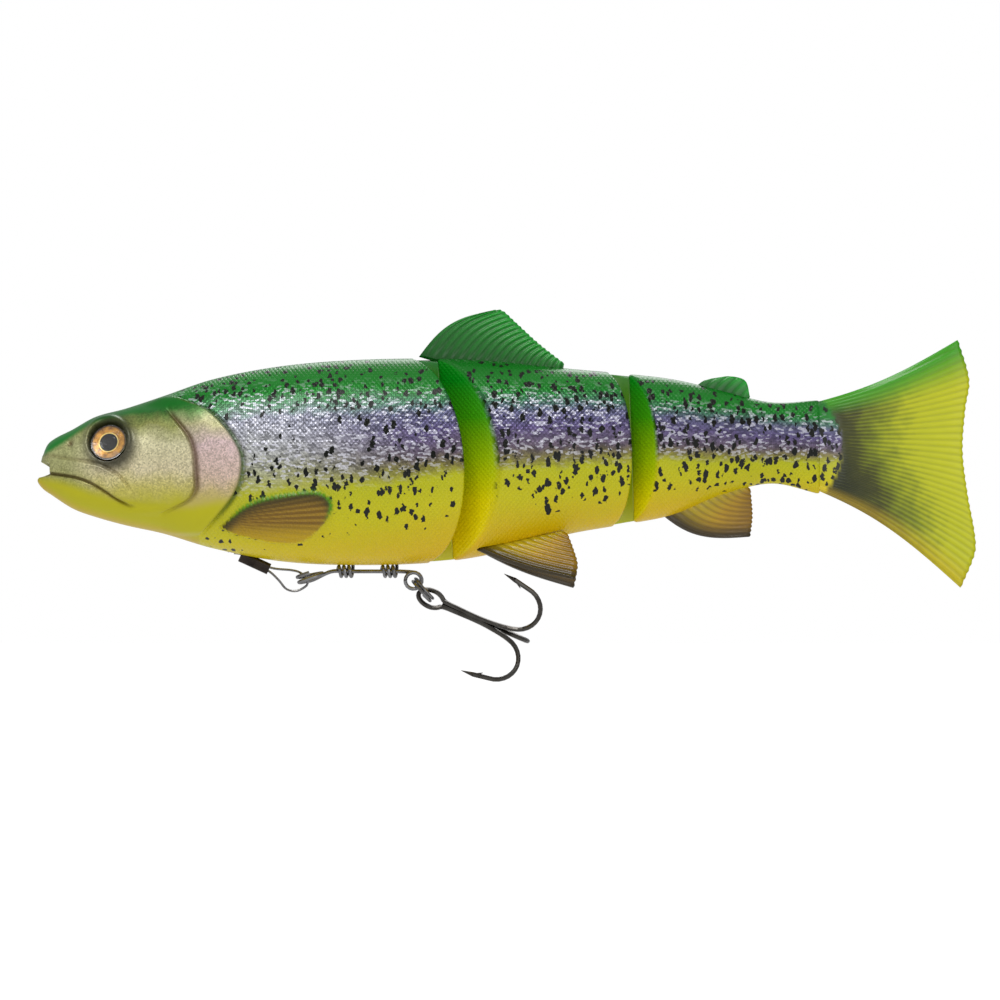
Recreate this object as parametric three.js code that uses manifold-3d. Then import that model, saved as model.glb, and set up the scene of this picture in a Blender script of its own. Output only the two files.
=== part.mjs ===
// A line-through soft swimbait: a trout in three jointed segments with a soft tail, and a wire rig with a
// treble hook pinned under its belly. Millimetres, +X towards the tail, +Z up, the fish's left flank at -Y.
// The origin is where the line enters the mouth.
import * as THREE from "three";
import { mergeVertices } from "three/addons/utils/BufferGeometryUtils.js";
import Module from "manifold-3d";

const wasm = await Module();
wasm.setup();

// Overall sizes
const FRONT_LENGTH = 80.7; // mouth to the front hinge, at the mouth's height
const MIDDLE_LENGTH = 40.4; // front hinge to rear hinge
const REAR_LENGTH = 42.9; // rear hinge to tail root
const BODY_DEPTH = 44.5;
const BODY_WIDTH = 27.6;
const TAIL_LENGTH = 33.4; // tail root to the lower fork tip
const TAIL_SPAN = 54.5;
const GAP = 0.3; // between pieces that touch on the real lure
const BODY_SIDES = 32;

// Segment joints: a thin web between a concave V ahead of it and a convex V behind it
const WEB_THICKNESS = 3;
const FRONT_CUP_AT = -2.4; // the V's point ahead of the hinge line
const FRONT_CUP_SLOPE = 0.76; // how far that V runs back for each millimetre out from the centre plane
const FRONT_NOSE_AT = 2.3; // the V's point behind the hinge line
const FRONT_NOSE_SLOPE = 1.02;
const FRONT_HINGE_LEAN = -0.078; // how far the hinge line moves towards the tail for each millimetre up
const REAR_CUP_AT = -2;
const REAR_CUP_SLOPE = 0.5;
const REAR_NOSE_AT = 1.9;
const REAR_NOSE_SLOPE = 0.74;
const REAR_HINGE_LEAN = -0.034;

// Mouth, eyes and line tube
const MOUTH_HEIGHT = 3;
const EYE_AT = new THREE.Vector2(12.6, 6);
const EYE_RADIUS = 3.9;
const IRIS_THICKNESS = 0.6;
const LENS_HEIGHT = 1.9;
const SOCKET_DEPTH = 2;
const EYE_TILT = 20; // degrees the eye looks up
const EYE_TURN = 15; // degrees the eye looks forward
const TUBE_OUTER = 1.3;
const TUBE_BORE = 0.8;
const LEADER_RADIUS = 0.25;
const TUBE_EXIT_RECESS = 0.9; // tube end to the middle of the belly hole

// Inner mesh ribbon and ballast
const RIBBON_THICKNESS = 0.7;
const RIBBON_INSET = 8; // from the back down to the ribbon's upper edge
const BALLAST_RADIUS = 3.2;
const FRONT_BALLAST_LENGTH = 24;
const MIDDLE_BALLAST_RADIUS = 2.4;
const MIDDLE_BALLAST_LENGTH = 13;
const FRONT_BALLAST_RISE = 7.2; // belly to the ballast, clear above the belly pins
const MIDDLE_BALLAST_RISE = 6;

// Fins
const DORSAL_THICKNESS = 2;
const DORSAL_HEIGHT = 10.2;
const ADIPOSE_THICKNESS = 1.6;
const ANAL_THICKNESS = 1.6;
const PELVIC_THICKNESS = 1.3;
const PELVIC_DEPTH = 12;
const PELVIC_SPLAY = 38; // degrees from straight down
const PELVIC_OUT = 5; // root line to the centre plane
const TAIL_ROOT_RADIUS = 1.6;
const TAIL_THICKNESS = 2;
const FIN_ROOT = 2; // how deep a fin's root sits in its segment

// Rig
const RIG_RADIUS = 0.42;
const SHAFT_DROP = 1.35; // shaft below the belly at the pins
const PIN_RADIUS = 0.38;
const PIN_TURNS = 3;
const PIN_LENGTH = 5.2; // above the shaft
const PIN_GROOVE_ROOM = 0.55; // round a pin's coil, in the belly
const PIN_HOLE_SIDE = 0.8; // room beside a pin in its hole
const PIN_HOLE_AFT = 2.3; // the hole runs back this far, for a pin leaves it on an arc
const CRIMP_LENGTH = 7.4;
const CRIMP_WALL = 0.35;
const CRIMP_ANGLE = -24.6;
const FRONT_EYE_LENGTH = 5.4;
const FRONT_EYE_WIDTH = 3.2;
const FRONT_EYE_TURNS = 1.5;
const REAR_EYE_TURNS = 1.75;
const RING_ROOM = 0.95; // clear radius in the rear eye for the split ring's turns, before its curve
const RING_RADIUS = 2.8;
const RING_WIRE = 0.34;
const RING_TURNS = 1.9;
const RING_TURN_GAP = 0.08; // between the two turns of the one ring
const RING_ANGLE = -45;
const HOOK_WIRE = 0.52;
const HOOK_EYE_SHIFT = -0.1; // hook eye centre ahead of the ring wire that it hangs on
const SHANK_LENGTH = 14.4; // eye to the start of the bends
const HOOK_GAPE = 11;
const HOOK_POINT_LENGTH = 10.5; // bottom of the bend back to the point
const SHANK_ANGLE = -24;
const HOOK_EYE_LONG = 3; // eye centre to its ends
const HOOK_EYE_WIDE = 1.75;
const POINT_LENGTH = 2.6; // the cone at the end of each hook
const BARB_START = 3; // barb root and tip, back from the point
const BARB_END = 4.4;

const X = new THREE.Vector3(1, 0, 0);
const Y = new THREE.Vector3(0, 1, 0);
const rad = THREE.MathUtils.degToRad;
const v3 = (x, y, z) => new THREE.Vector3(x, y, z);

// ---- Solids ----

function solid(geometry) {
  const plain = new THREE.BufferGeometry();
  plain.setAttribute("position", geometry.getAttribute("position"));
  if (geometry.index) plain.setIndex(geometry.index);
  const merged = mergeVertices(plain, 1e-4);
  return new wasm.Manifold(
    new wasm.Mesh({
      numProp: 3,
      vertProperties: new Float32Array(merged.getAttribute("position").array),
      triVerts: new Uint32Array(merged.index.array),
    }),
  );
}

function geometryOf(manifold) {
  const mesh = manifold.getMesh();
  const geometry = new THREE.BufferGeometry();
  geometry.setAttribute("position", new THREE.BufferAttribute(mesh.vertProperties, 3));
  geometry.setIndex(new THREE.BufferAttribute(mesh.triVerts, 1));
  geometry.computeVertexNormals();
  return geometry;
}

// A round wire: a many-sided section swept along a curve.
function wire(curve, radius, steps, sides = 8) {
  const section = Array.from({ length: sides }, (_, k) => {
    const turn = (k / sides) * 2 * Math.PI;
    return new THREE.Vector2(radius * Math.cos(turn), radius * Math.sin(turn));
  });
  return solid(new THREE.ExtrudeGeometry(new THREE.Shape(section), { steps, extrudePath: curve }));
}

// A cone or cylinder from one point to another.
function taper(from, to, startRadius, endRadius, sides = 8) {
  const along = to.clone().sub(from);
  const geometry = new THREE.CylinderGeometry(endRadius, startRadius, along.length(), sides);
  geometry.applyQuaternion(new THREE.Quaternion().setFromUnitVectors(Y, along.clone().normalize()));
  const middle = from.clone().add(to).multiplyScalar(0.5);
  geometry.translate(middle.x, middle.y, middle.z);
  return solid(geometry);
}

const through = (points) => new THREE.CatmullRomCurve3(points, false, "centripetal");

// A flat plate of an outline drawn as (x, z), centred on y = 0, its edges chamfered by bevel.
function plate(outline, thickness, bevel = 0) {
  const geometry = new THREE.ExtrudeGeometry(new THREE.Shape(outline), {
    depth: thickness - 2 * bevel,
    bevelEnabled: bevel > 0,
    bevelThickness: bevel,
    bevelSize: bevel,
    bevelOffset: -bevel,
    bevelSegments: 1,
    curveSegments: 8,
  });
  geometry.translate(0, 0, bevel - thickness / 2);
  geometry.rotateX(Math.PI / 2);
  return solid(geometry);
}

function box(low, high) {
  const size = high.clone().sub(low);
  const geometry = new THREE.BoxGeometry(size.x, size.y, size.z);
  geometry.translate((low.x + high.x) / 2, (low.y + high.y) / 2, (low.z + high.z) / 2);
  return solid(geometry);
}

// ---- The body's skin ----

// Shape stations: [place, back, belly, half width]. Place counts segments from the mouth, so 1 is the
// front hinge, 2 the rear hinge and 3 the tail root; the rest are per cent of BODY_DEPTH and half BODY_WIDTH.
const STATIONS = [
  [-0.032, -4, -7, 11],
  [-0.016, 8, -10, 25],
  [0, 13, -12, 35],
  [0.06, 19, -19, 50],
  [0.12, 25, -23, 61],
  [0.2, 29, -27, 72],
  [0.3, 35, -31, 82],
  [0.43, 43, -38, 91],
  [0.6, 49, -44, 97],
  [0.78, 52, -46, 100],
  [1, 53, -45, 99],
  [1.32, 52, -41, 94],
  [1.75, 48, -31, 83],
  [2, 46, -27, 74],
  [2.27, 43, -22, 61],
  [2.5, 38, -13, 46],
  [2.76, 32, -7, 31],
  [3, 33, -12, 18],
];
const SEGMENT_STARTS = [0, FRONT_LENGTH, FRONT_LENGTH + MIDDLE_LENGTH];
const SEGMENT_LENGTHS = [FRONT_LENGTH, MIDDLE_LENGTH, REAR_LENGTH];
const FRONT_HINGE_X = FRONT_LENGTH;
const REAR_HINGE_X = FRONT_LENGTH + MIDDLE_LENGTH;
const TAIL_ROOT_X = REAR_HINGE_X + REAR_LENGTH;

function xAt(place) {
  const k = Math.min(2, Math.max(0, Math.floor(place)));
  return SEGMENT_STARTS[k] + (place - k) * SEGMENT_LENGTHS[k];
}

// A smooth curve through one column of the stations, as a function of x.
function column(index, scale) {
  const xs = STATIONS.map((s) => xAt(s[0]));
  const ys = STATIONS.map((s) => (s[index] * scale) / 100);
  const slope = (i) => {
    const a = Math.max(0, i - 1);
    const b = Math.min(xs.length - 1, i + 1);
    return (ys[b] - ys[a]) / (xs[b] - xs[a]);
  };
  return (x) => {
    let i = xs.findIndex((value) => value > x) - 1;
    if (i < 0) i = x < xs[0] ? 0 : xs.length - 2;
    const w = xs[i + 1] - xs[i];
    const t = THREE.MathUtils.clamp((x - xs[i]) / w, 0, 1);
    const rise = ys[i + 1] - ys[i];
    const [m, n] = [slope(i) * w, slope(i + 1) * w];
    return ys[i] + t * m + t * t * (3 * rise - 2 * m - n) + t * t * t * (m + n - 2 * rise);
  };
}
const back = column(1, BODY_DEPTH);
const belly = column(2, BODY_DEPTH);
const half = column(3, BODY_WIDTH / 2);

// Distance from the centre plane to the skin at a height.
function flank(x, z) {
  const mid = (back(x) + belly(x)) / 2;
  const tall = (back(x) - belly(x)) / 2;
  return half(x) * Math.sqrt(Math.max(0, 1 - ((z - mid) / tall) ** 2));
}

// A cylinder whose rings are moved onto the stations and the points halfway between them.
function makeBody() {
  const places = STATIONS.flatMap((s, i) =>
    i + 1 < STATIONS.length ? [s[0], (s[0] + STATIONS[i + 1][0]) / 2] : [s[0]],
  );
  const rows = places.length - 1;
  const geometry = new THREE.CylinderGeometry(1, 1, rows, BODY_SIDES, rows);
  const position = geometry.getAttribute("position");
  for (let i = 0; i < position.count; i++) {
    const x = xAt(places[Math.round(rows / 2 - position.getY(i))]);
    const mid = (back(x) + belly(x)) / 2;
    const tall = (back(x) - belly(x)) / 2;
    position.setXYZ(i, x, half(x) * position.getX(i), mid + tall * position.getZ(i));
  }
  return solid(geometry);
}
const BODY = makeBody();

// ---- Hinge cuts ----

const FAR = 3 * BODY_DEPTH;
const hingeX = (hinge, z) => hinge.x + hinge.lean * z;
const FRONT_HINGE = {
  x: FRONT_HINGE_X,
  lean: FRONT_HINGE_LEAN,
  cup: [FRONT_CUP_AT, FRONT_CUP_SLOPE],
  nose: [FRONT_NOSE_AT, FRONT_NOSE_SLOPE],
};
const REAR_HINGE = {
  x: REAR_HINGE_X,
  lean: REAR_HINGE_LEAN,
  cup: [REAR_CUP_AT, REAR_CUP_SLOPE],
  nose: [REAR_NOSE_AT, REAR_NOSE_SLOPE],
};
// Where a V meets the side of the web, from the hinge line.
const webEnd = ([at, slope]) => at + (slope * WEB_THICKNESS) / 2;

// A prism of a plan outline, measured from the hinge line and leaning with it.
function prism(hinge, outline) {
  const shape = new THREE.Shape(outline);
  const geometry = new THREE.ExtrudeGeometry(shape, { depth: 2 * FAR, bevelEnabled: false });
  geometry.translate(0, 0, -FAR);
  geometry.applyMatrix4(new THREE.Matrix4().makeShear(0, 0, 0, 0, hinge.lean, 0));
  geometry.translate(hinge.x, 0, 0);
  return solid(geometry);
}

const p2 = (x, y) => new THREE.Vector2(x, y);

// The V on one side of a hinge: flat across the web, then out at its slope, and closed far away at reach.
function wedge(hinge, face, reach) {
  const side = WEB_THICKNESS / 2;
  const at = webEnd(face);
  const out = at + face[1] * (FAR - side);
  const lower = [p2(reach, -FAR), p2(out, -FAR), p2(at, -side)];
  const upper = [p2(at, side), p2(out, FAR), p2(reach, FAR)];
  return prism(hinge, [...lower, ...upper]);
}
const aheadOf = (hinge) => wedge(hinge, hinge.cup, -FAR * 2);
const behind = (hinge) => wedge(hinge, hinge.nose, FAR * 2);

function web(hinge) {
  const [a, b, side] = [webEnd(hinge.cup) + GAP / 2, webEnd(hinge.nose) - GAP / 2, WEB_THICKNESS / 2];
  return BODY.intersect(prism(hinge, [p2(a, -side), p2(b, -side), p2(b, side), p2(a, side)]));
}

// ---- Inner ribbon and ballast ----

// The ribbon's outline between two ends, each a function of height; grow widens it into its slot.
function ribbonOutline(endA, endB, floor, grow = 0) {
  const top = (x) => back(x) - RIBBON_INSET + grow;
  const base = (x) => floor(x) - grow;
  const [a, b] = [endA(0), endB(0)];
  const steps = 4;
  const xs = Array.from({ length: steps + 1 }, (_, i) => a + ((b - a) * i) / steps);
  const upper = xs.map((x) => p2(x, top(x)));
  const lower = xs.map((x) => p2(x, base(x)));
  upper[0].x = endA(upper[0].y);
  lower[0].x = endA(lower[0].y);
  upper[steps].x = endB(upper[steps].y);
  lower[steps].x = endB(lower[steps].y);
  return [...lower, ...upper.reverse()];
}
const ribbon = (...args) => plate(ribbonOutline(...args), RIBBON_THICKNESS);
const slot = (endA, endB, floor) => plate(ribbonOutline(endA, endB, floor, GAP), RIBBON_THICKNESS + 2 * GAP);

function capsule(radius, length, x, z) {
  const geometry = new THREE.CapsuleGeometry(radius, length - 2 * radius, 5, 16);
  geometry.rotateZ(Math.PI / 2);
  geometry.translate(x, 0, z);
  return solid(geometry);
}
const FRONT_BALLAST = { x: xAt(0.7), z: belly(xAt(0.7)) + FRONT_BALLAST_RISE + BALLAST_RADIUS };
const MIDDLE_BALLAST = { x: xAt(1.5), z: belly(xAt(1.5)) + MIDDLE_BALLAST_RISE + MIDDLE_BALLAST_RADIUS };
const frontBallast = (grow) =>
  capsule(BALLAST_RADIUS + grow, FRONT_BALLAST_LENGTH + 2 * grow, FRONT_BALLAST.x, FRONT_BALLAST.z);
const middleBallast = (grow) =>
  capsule(MIDDLE_BALLAST_RADIUS + grow, MIDDLE_BALLAST_LENGTH + 2 * grow, MIDDLE_BALLAST.x, MIDDLE_BALLAST.z);
const frontFloor = () => FRONT_BALLAST.z + BALLAST_RADIUS + GAP;
const middleFloor = () => MIDDLE_BALLAST.z + MIDDLE_BALLAST_RADIUS + GAP;
const rearFloor = (x) => belly(x) + (back(x) - belly(x)) * 0.36;

// Ribbon ends: blind ones stand still, the others stop short of the web or run out through the face.
const blind = (x) => () => x;
const before = (hinge, past) => (z) => hingeX(hinge, z) + webEnd(hinge.cup) + past;
const after = (hinge, past) => (z) => hingeX(hinge, z) + webEnd(hinge.nose) - past;
const RIBBON_START = xAt(0.4);
const RIBBON_END = xAt(2.82);

// ---- Line tube, crimp and trace ----

const EXIT_PLACE = 0.497;
const EXIT = v3(xAt(EXIT_PLACE), 0, belly(xAt(EXIT_PLACE)) - 0.2);
const crimpAlong = v3(Math.cos(rad(CRIMP_ANGLE)), 0, Math.sin(rad(CRIMP_ANGLE)));
const crimpUp = v3(-crimpAlong.z, 0, crimpAlong.x);
const byCrimp = (along, up) => EXIT.clone().addScaledVector(crimpAlong, along).addScaledVector(crimpUp, up);

// The line's route, run on past both openings so that every piece on it follows the same curve.
const LINE_ROUTE = through([
  v3(-6, 0, 0),
  v3(EXIT.x * 0.3, 0, EXIT.z * 0.17),
  v3(EXIT.x * 0.62, 0, EXIT.z * 0.53),
  byCrimp(-6, 0),
  byCrimp(6, 0),
]);
const ROUTE_STEPS = 18;
const alongRoute = (radius, sides) => wire(LINE_ROUTE, radius, ROUTE_STEPS, sides);

function lineTube() {
  const between = box(v3(GAP, -5, -40), v3(EXIT.x - TUBE_EXIT_RECESS, 5, 20));
  return alongRoute(TUBE_OUTER, 12).intersect(between).intersect(BODY).subtract(alongRoute(TUBE_BORE, 12));
}

const LEADER_ENDS = [2, EXIT.x - 2]; // hidden just inside both openings
function leaderWire() {
  return alongRoute(LEADER_RADIUS, 8).intersect(box(v3(LEADER_ENDS[0], -5, -40), v3(LEADER_ENDS[1], 5, 20)));
}

// The trace is one wire: out of the crimp, round the loop and back into the crimp.
const STRAND = LEADER_RADIUS + 0.17; // half the distance between the two strands in the crimp
const LOOP_END = CRIMP_LENGTH + 8.6;
function traceWire() {
  const path = [
    [-1, 0],
    [0.4, STRAND],
    [CRIMP_LENGTH, STRAND],
    [LOOP_END - 4.3, 1.8],
    [LOOP_END - 2.7, 2.1],
    [LOOP_END - 0.9, 1.7],
    [LOOP_END, 0.6],
    [LOOP_END - 0.4, -0.5],
    [LOOP_END - 1.7, -1.9],
    [LOOP_END - 3.7, -2.3],
    [LOOP_END - 5.9, -1.3],
    [CRIMP_LENGTH, -STRAND],
    [CRIMP_LENGTH / 2, -STRAND],
  ];
  return wire(through(path.map(([s, t]) => byCrimp(s, t))), LEADER_RADIUS, 56, 8);
}

function crimpSleeve() {
  const inner = LEADER_RADIUS + 0.2;
  const oval = (r) => {
    const ends = new THREE.Shape();
    ends.absarc(0, STRAND, r, 0, Math.PI);
    ends.absarc(0, -STRAND, r, Math.PI, 2 * Math.PI);
    return ends;
  };
  const shape = oval(inner + CRIMP_WALL);
  shape.holes.push(new THREE.Path(oval(inner).getPoints(6)));
  const geometry = new THREE.ExtrudeGeometry(shape, {
    depth: CRIMP_LENGTH - 0.7,
    curveSegments: 6,
    bevelEnabled: false,
  });
  const start = byCrimp(0.5, 0);
  geometry.applyMatrix4(new THREE.Matrix4().makeBasis(Y, crimpUp, crimpAlong));
  geometry.translate(start.x, start.y, start.z);
  return solid(geometry);
}

// ---- Wire rig ----

const PIN_PLACES = [xAt(0.779), xAt(0.895)];
const shaftZ = belly(PIN_PLACES[0]) - SHAFT_DROP;
const TURN_PITCH = 2 * RIG_RADIUS + GAP;
const REAR_EYE_RISE = REAR_EYE_TURNS * TURN_PITCH;
// The ring curves towards the eye's wire across the eye's width, so a wider eye has a larger hole.
const rearEyeHalf = REAR_EYE_RISE / 2 + RIG_RADIUS;
const ringCurve = RING_RADIUS - Math.sqrt(RING_RADIUS ** 2 - rearEyeHalf ** 2);
const REAR_EYE_RADIUS = RING_ROOM + ringCurve + RIG_RADIUS;
const REAR_EYE = v3(xAt(0.96), 0, shaftZ - REAR_EYE_RADIUS - 0.2);
const EYE_FRONT = byCrimp(LOOP_END - 2.2, 0.5); // the front eye's far wire, inside the trace's loop

// Points on a loop that winds turns times round a centre in the plane of a and b, rising along n.
function winding(centre, a, b, n, turns, startTurn, rise, steps = 12) {
  const count = Math.round(turns * steps);
  return Array.from({ length: count + 1 }, (_, i) => {
    const turn = 2 * Math.PI * (startTurn + i / steps);
    return centre
      .clone()
      .addScaledVector(a, Math.cos(turn))
      .addScaledVector(b, Math.sin(turn))
      .addScaledVector(n, rise * (i / count - 0.5));
  });
}

function rigWire() {
  const neck = v3(EYE_FRONT.x + FRONT_EYE_LENGTH + 1.2, 0, shaftZ);
  const along = neck.clone().sub(EYE_FRONT).normalize();
  const across = new THREE.Vector3().crossVectors(along, Y).normalize();
  const eyeCentre = EYE_FRONT.clone().addScaledVector(along, FRONT_EYE_LENGTH / 2);
  const eye = winding(
    eyeCentre,
    Y.clone().multiplyScalar(FRONT_EYE_WIDTH / 2),
    along.clone().multiplyScalar(FRONT_EYE_LENGTH / 2),
    across,
    FRONT_EYE_TURNS,
    0.5,
    -FRONT_EYE_TURNS * TURN_PITCH,
  );
  // the rear eye winds off to one side, so that it starts in line with the shaft
  const rear = winding(
    REAR_EYE.clone().addScaledVector(Y, -REAR_EYE_RISE / 2),
    v3(REAR_EYE_RADIUS, 0, 0),
    v3(0, 0, -REAR_EYE_RADIUS),
    Y.clone().negate(),
    REAR_EYE_TURNS,
    -0.25,
    REAR_EYE_RISE,
  );
  const shaft = [neck.x + 0.6, PIN_PLACES[0], PIN_PLACES[1], PIN_PLACES[1] + 2].map((x) => v3(x, 0, shaftZ));
  return wire(through([...eye, ...shaft, ...rear]), RIG_RADIUS, 96, 8);
}

const PIN_TURN = RIG_RADIUS + PIN_RADIUS + GAP; // the coil's radius, at the middle of its wire
const PIN_PITCH = 2 * PIN_RADIUS + GAP;
const COIL_HALF = (PIN_TURNS * PIN_PITCH) / 2;

// A belly pin: a wire wound round the shaft, then straight up into the belly.
function bellyPin(x) {
  const foot = x + COIL_HALF;
  const coil = winding(
    v3(x, 0, shaftZ),
    v3(0, PIN_TURN, 0),
    v3(0, 0, PIN_TURN),
    X.clone(),
    PIN_TURNS,
    0,
    2 * COIL_HALF,
  );
  const stem = [
    v3(foot + 0.1, PIN_TURN * 0.8, shaftZ + PIN_TURN * 0.8),
    v3(foot, 0.3, shaftZ + 1.9),
    v3(foot, 0, shaftZ + 2.8),
    v3(foot, 0, shaftZ + PIN_LENGTH),
  ];
  return wire(through([...coil, ...stem]), PIN_RADIUS, 60, 8);
}

// The belly's room for a pin: a groove for its coil and a hole for its stem.
function pinRoom(x) {
  const foot = x + COIL_HALF;
  const radius = PIN_TURN + PIN_RADIUS + PIN_GROOVE_ROOM;
  const groove = new THREE.CylinderGeometry(radius, radius, 2 * (COIL_HALF + PIN_PITCH), 16);
  groove.rotateZ(Math.PI / 2);
  groove.translate(x + GAP, 0, shaftZ);
  const wide = PIN_RADIUS + PIN_HOLE_SIDE;
  const top = shaftZ + PIN_LENGTH + 2 * GAP;
  const hole = box(v3(foot - wide, -wide, shaftZ), v3(foot + PIN_HOLE_AFT, wide, top));
  return solid(groove).add(hole);
}

// ---- Split ring and treble hook ----

const ringAlong = v3(Math.cos(rad(RING_ANGLE)), 0, Math.sin(rad(RING_ANGLE)));
const RING_CENTRE = REAR_EYE.clone().addScaledVector(ringAlong, RING_RADIUS);

function splitRing() {
  const normal = new THREE.Vector3().crossVectors(ringAlong, Y);
  const pitch = 2 * RING_WIRE + RING_TURN_GAP;
  const path = winding(
    RING_CENTRE,
    Y.clone().multiplyScalar(RING_RADIUS),
    ringAlong.clone().multiplyScalar(RING_RADIUS),
    normal,
    RING_TURNS,
    0.05,
    RING_TURNS * pitch,
    16,
  );
  return wire(through(path), RING_WIRE, 52, 8);
}

const shankAlong = v3(Math.cos(rad(SHANK_ANGLE)), 0, Math.sin(rad(SHANK_ANGLE)));
const shankUp = v3(-shankAlong.z, 0, shankAlong.x);
const HOOK_EYE = RING_CENTRE.clone()
  .addScaledVector(ringAlong, RING_RADIUS)
  .addScaledVector(shankAlong, HOOK_EYE_SHIFT);
const fromHookEye = (along, out, across) =>
  HOOK_EYE.clone().addScaledVector(shankAlong, along).addScaledVector(out, across);

// One of the three hooks, leaving the shank at an angle round it.
function hook(angle) {
  const out = Y.clone().multiplyScalar(Math.cos(angle)).addScaledVector(shankUp, Math.sin(angle));
  const at = (along, across) => fromHookEye(along, out, across);
  const start = HOOK_EYE_LONG - 0.5;
  const bendStart = start + SHANK_LENGTH;
  const r = HOOK_GAPE / 2;
  const lane = HOOK_WIRE * 1.08;
  const bend = [-60, -30, 0, 30, 60, 90].map((d) =>
    at(bendStart + r * Math.cos(rad(d)), lane + r + 0.6 + r * Math.sin(rad(d))),
  );
  const tip = at(bendStart + r - HOOK_POINT_LENGTH, lane + 2 * r + 1.4);
  const pointRoot = at(bendStart + r - HOOK_POINT_LENGTH + POINT_LENGTH, lane + 2 * r + 1.1);
  const barbRoot = at(bendStart + r - HOOK_POINT_LENGTH + BARB_START, lane + 2 * r + 1.0);
  const barbTip = at(bendStart + r - HOOK_POINT_LENGTH + BARB_END, lane + 2 * r - 0.2);
  const path = [at(start, lane), at(start + SHANK_LENGTH * 0.75, lane), ...bend, pointRoot];
  return wire(through(path), HOOK_WIRE, 30, 8)
    .add(taper(pointRoot, tip, HOOK_WIRE, 0.05))
    .add(taper(barbRoot, barbTip, HOOK_WIRE * 0.7, 0.08, 6));
}

function trebleHook() {
  const loop = [];
  for (let d = -150; d <= 150; d += 25) {
    const forward = Math.cos(rad(d));
    const pinch = forward > 0 ? 1 : 1 - 0.3 * forward ** 2; // the eye narrows towards the shank
    loop.push(fromHookEye(-HOOK_EYE_LONG * forward, shankUp, HOOK_EYE_WIDE * Math.sin(rad(d)) * pinch));
  }
  const base = (side) => fromHookEye(HOOK_EYE_LONG + 1.2, shankUp, side * 0.45);
  const eye = wire(through([base(-1), ...loop, base(1)]), HOOK_WIRE, 36, 8);
  const hooks = [0, 120, 240].map((degrees) => hook(rad(degrees)));
  return hooks.reduce((sum, one) => sum.add(one), eye);
}

// ---- Fins ----

// Each outline runs round the fin as (x, z); the root edge sinks FIN_ROOT into the segment.
function dorsalOutline() {
  const root = (x) => back(x) - FIN_ROOT;
  const [a, b] = [hingeX(FRONT_HINGE, BODY_DEPTH / 2), xAt(1.7)];
  const rise = (share, height) => p2(a - 1.9 + (b - a + 1.9) * share, back(a) + height * DORSAL_HEIGHT);
  const edge = [
    rise(0, 0.05),
    rise(0.1, 0.38),
    rise(0.23, 0.68),
    rise(0.4, 0.92),
    rise(0.57, 1),
    rise(0.75, 0.52),
    rise(0.88, 0.2),
  ];
  const start = a + webEnd(FRONT_HINGE.nose) + 1.4;
  return [
    p2(start, root(start)),
    p2(start, back(start) + 0.5),
    ...edge,
    p2(b, back(b) + 0.6),
    p2(b - 0.6, root(b)),
    p2((start + b) / 2, root((start + b) / 2)),
  ];
}

function adiposeOutline() {
  const [a, b] = [xAt(2.36), xAt(2.61)];
  const top = back(a) + 1.1;
  return [
    p2(a + 2, back(a + 2) - FIN_ROOT),
    p2(a, back(a)),
    p2(a + 3.4, top - 0.1),
    p2(a + 6.5, top + 0.2),
    p2(b - 1.2, top - 0.1),
    p2(b, top - 2),
    p2(b - 0.3, back(b) + 0.5),
    p2(b - 2, back(b - 2) - FIN_ROOT),
  ];
}

function analOutline() {
  const [a, b] = [xAt(2.17), xAt(2.63)];
  const low = belly(a) - 3.7;
  return [
    p2(a + 1, belly(a + 1)),
    p2(a + 4, belly(a + 4) + FIN_ROOT),
    p2(b - 3, belly(b - 3) + FIN_ROOT),
    p2(b, belly(b)),
    p2(b - 0.7, low),
    p2(a + 11, low),
    p2(a + 7.5, low + 0.9),
  ];
}

// Drawn as (x, distance down the fin's own plane from its root line).
function pelvicOutline() {
  const [a, b] = [xAt(1.22), xAt(1.69)];
  return [
    p2(a + 1.5, FIN_ROOT),
    p2(b - 4, FIN_ROOT),
    p2(b, 0.2),
    p2(b + 2.2, -PELVIC_DEPTH),
    p2(b - 4.5, -PELVIC_DEPTH * 0.8),
    p2(a + 5, -PELVIC_DEPTH * 0.4),
    p2(a, -0.4),
  ];
}
function placePelvic(manifold, side) {
  const [a, b] = [xAt(1.22), xAt(1.69)];
  const skinZ = (x) => {
    const mid = (back(x) + belly(x)) / 2;
    return mid - ((back(x) - belly(x)) / 2) * Math.sqrt(1 - (PELVIC_OUT / half(x)) ** 2);
  };
  const geometry = geometryOf(manifold);
  const pitch = Math.atan2(skinZ(b) - skinZ(a), b - a) * 0.55;
  geometry.translate(-a, 0, 0);
  geometry.rotateX(side * rad(PELVIC_SPLAY));
  geometry.rotateY(-pitch);
  geometry.translate(a, side * PELVIC_OUT, skinZ(a));
  return solid(geometry);
}
const pelvicFin = (side) => placePelvic(plate(pelvicOutline(), PELVIC_THICKNESS, 0.3), side);
const pelvicRoom = (side) => placePelvic(plate(pelvicOutline(), PELVIC_THICKNESS + 2 * GAP), side);

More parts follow.
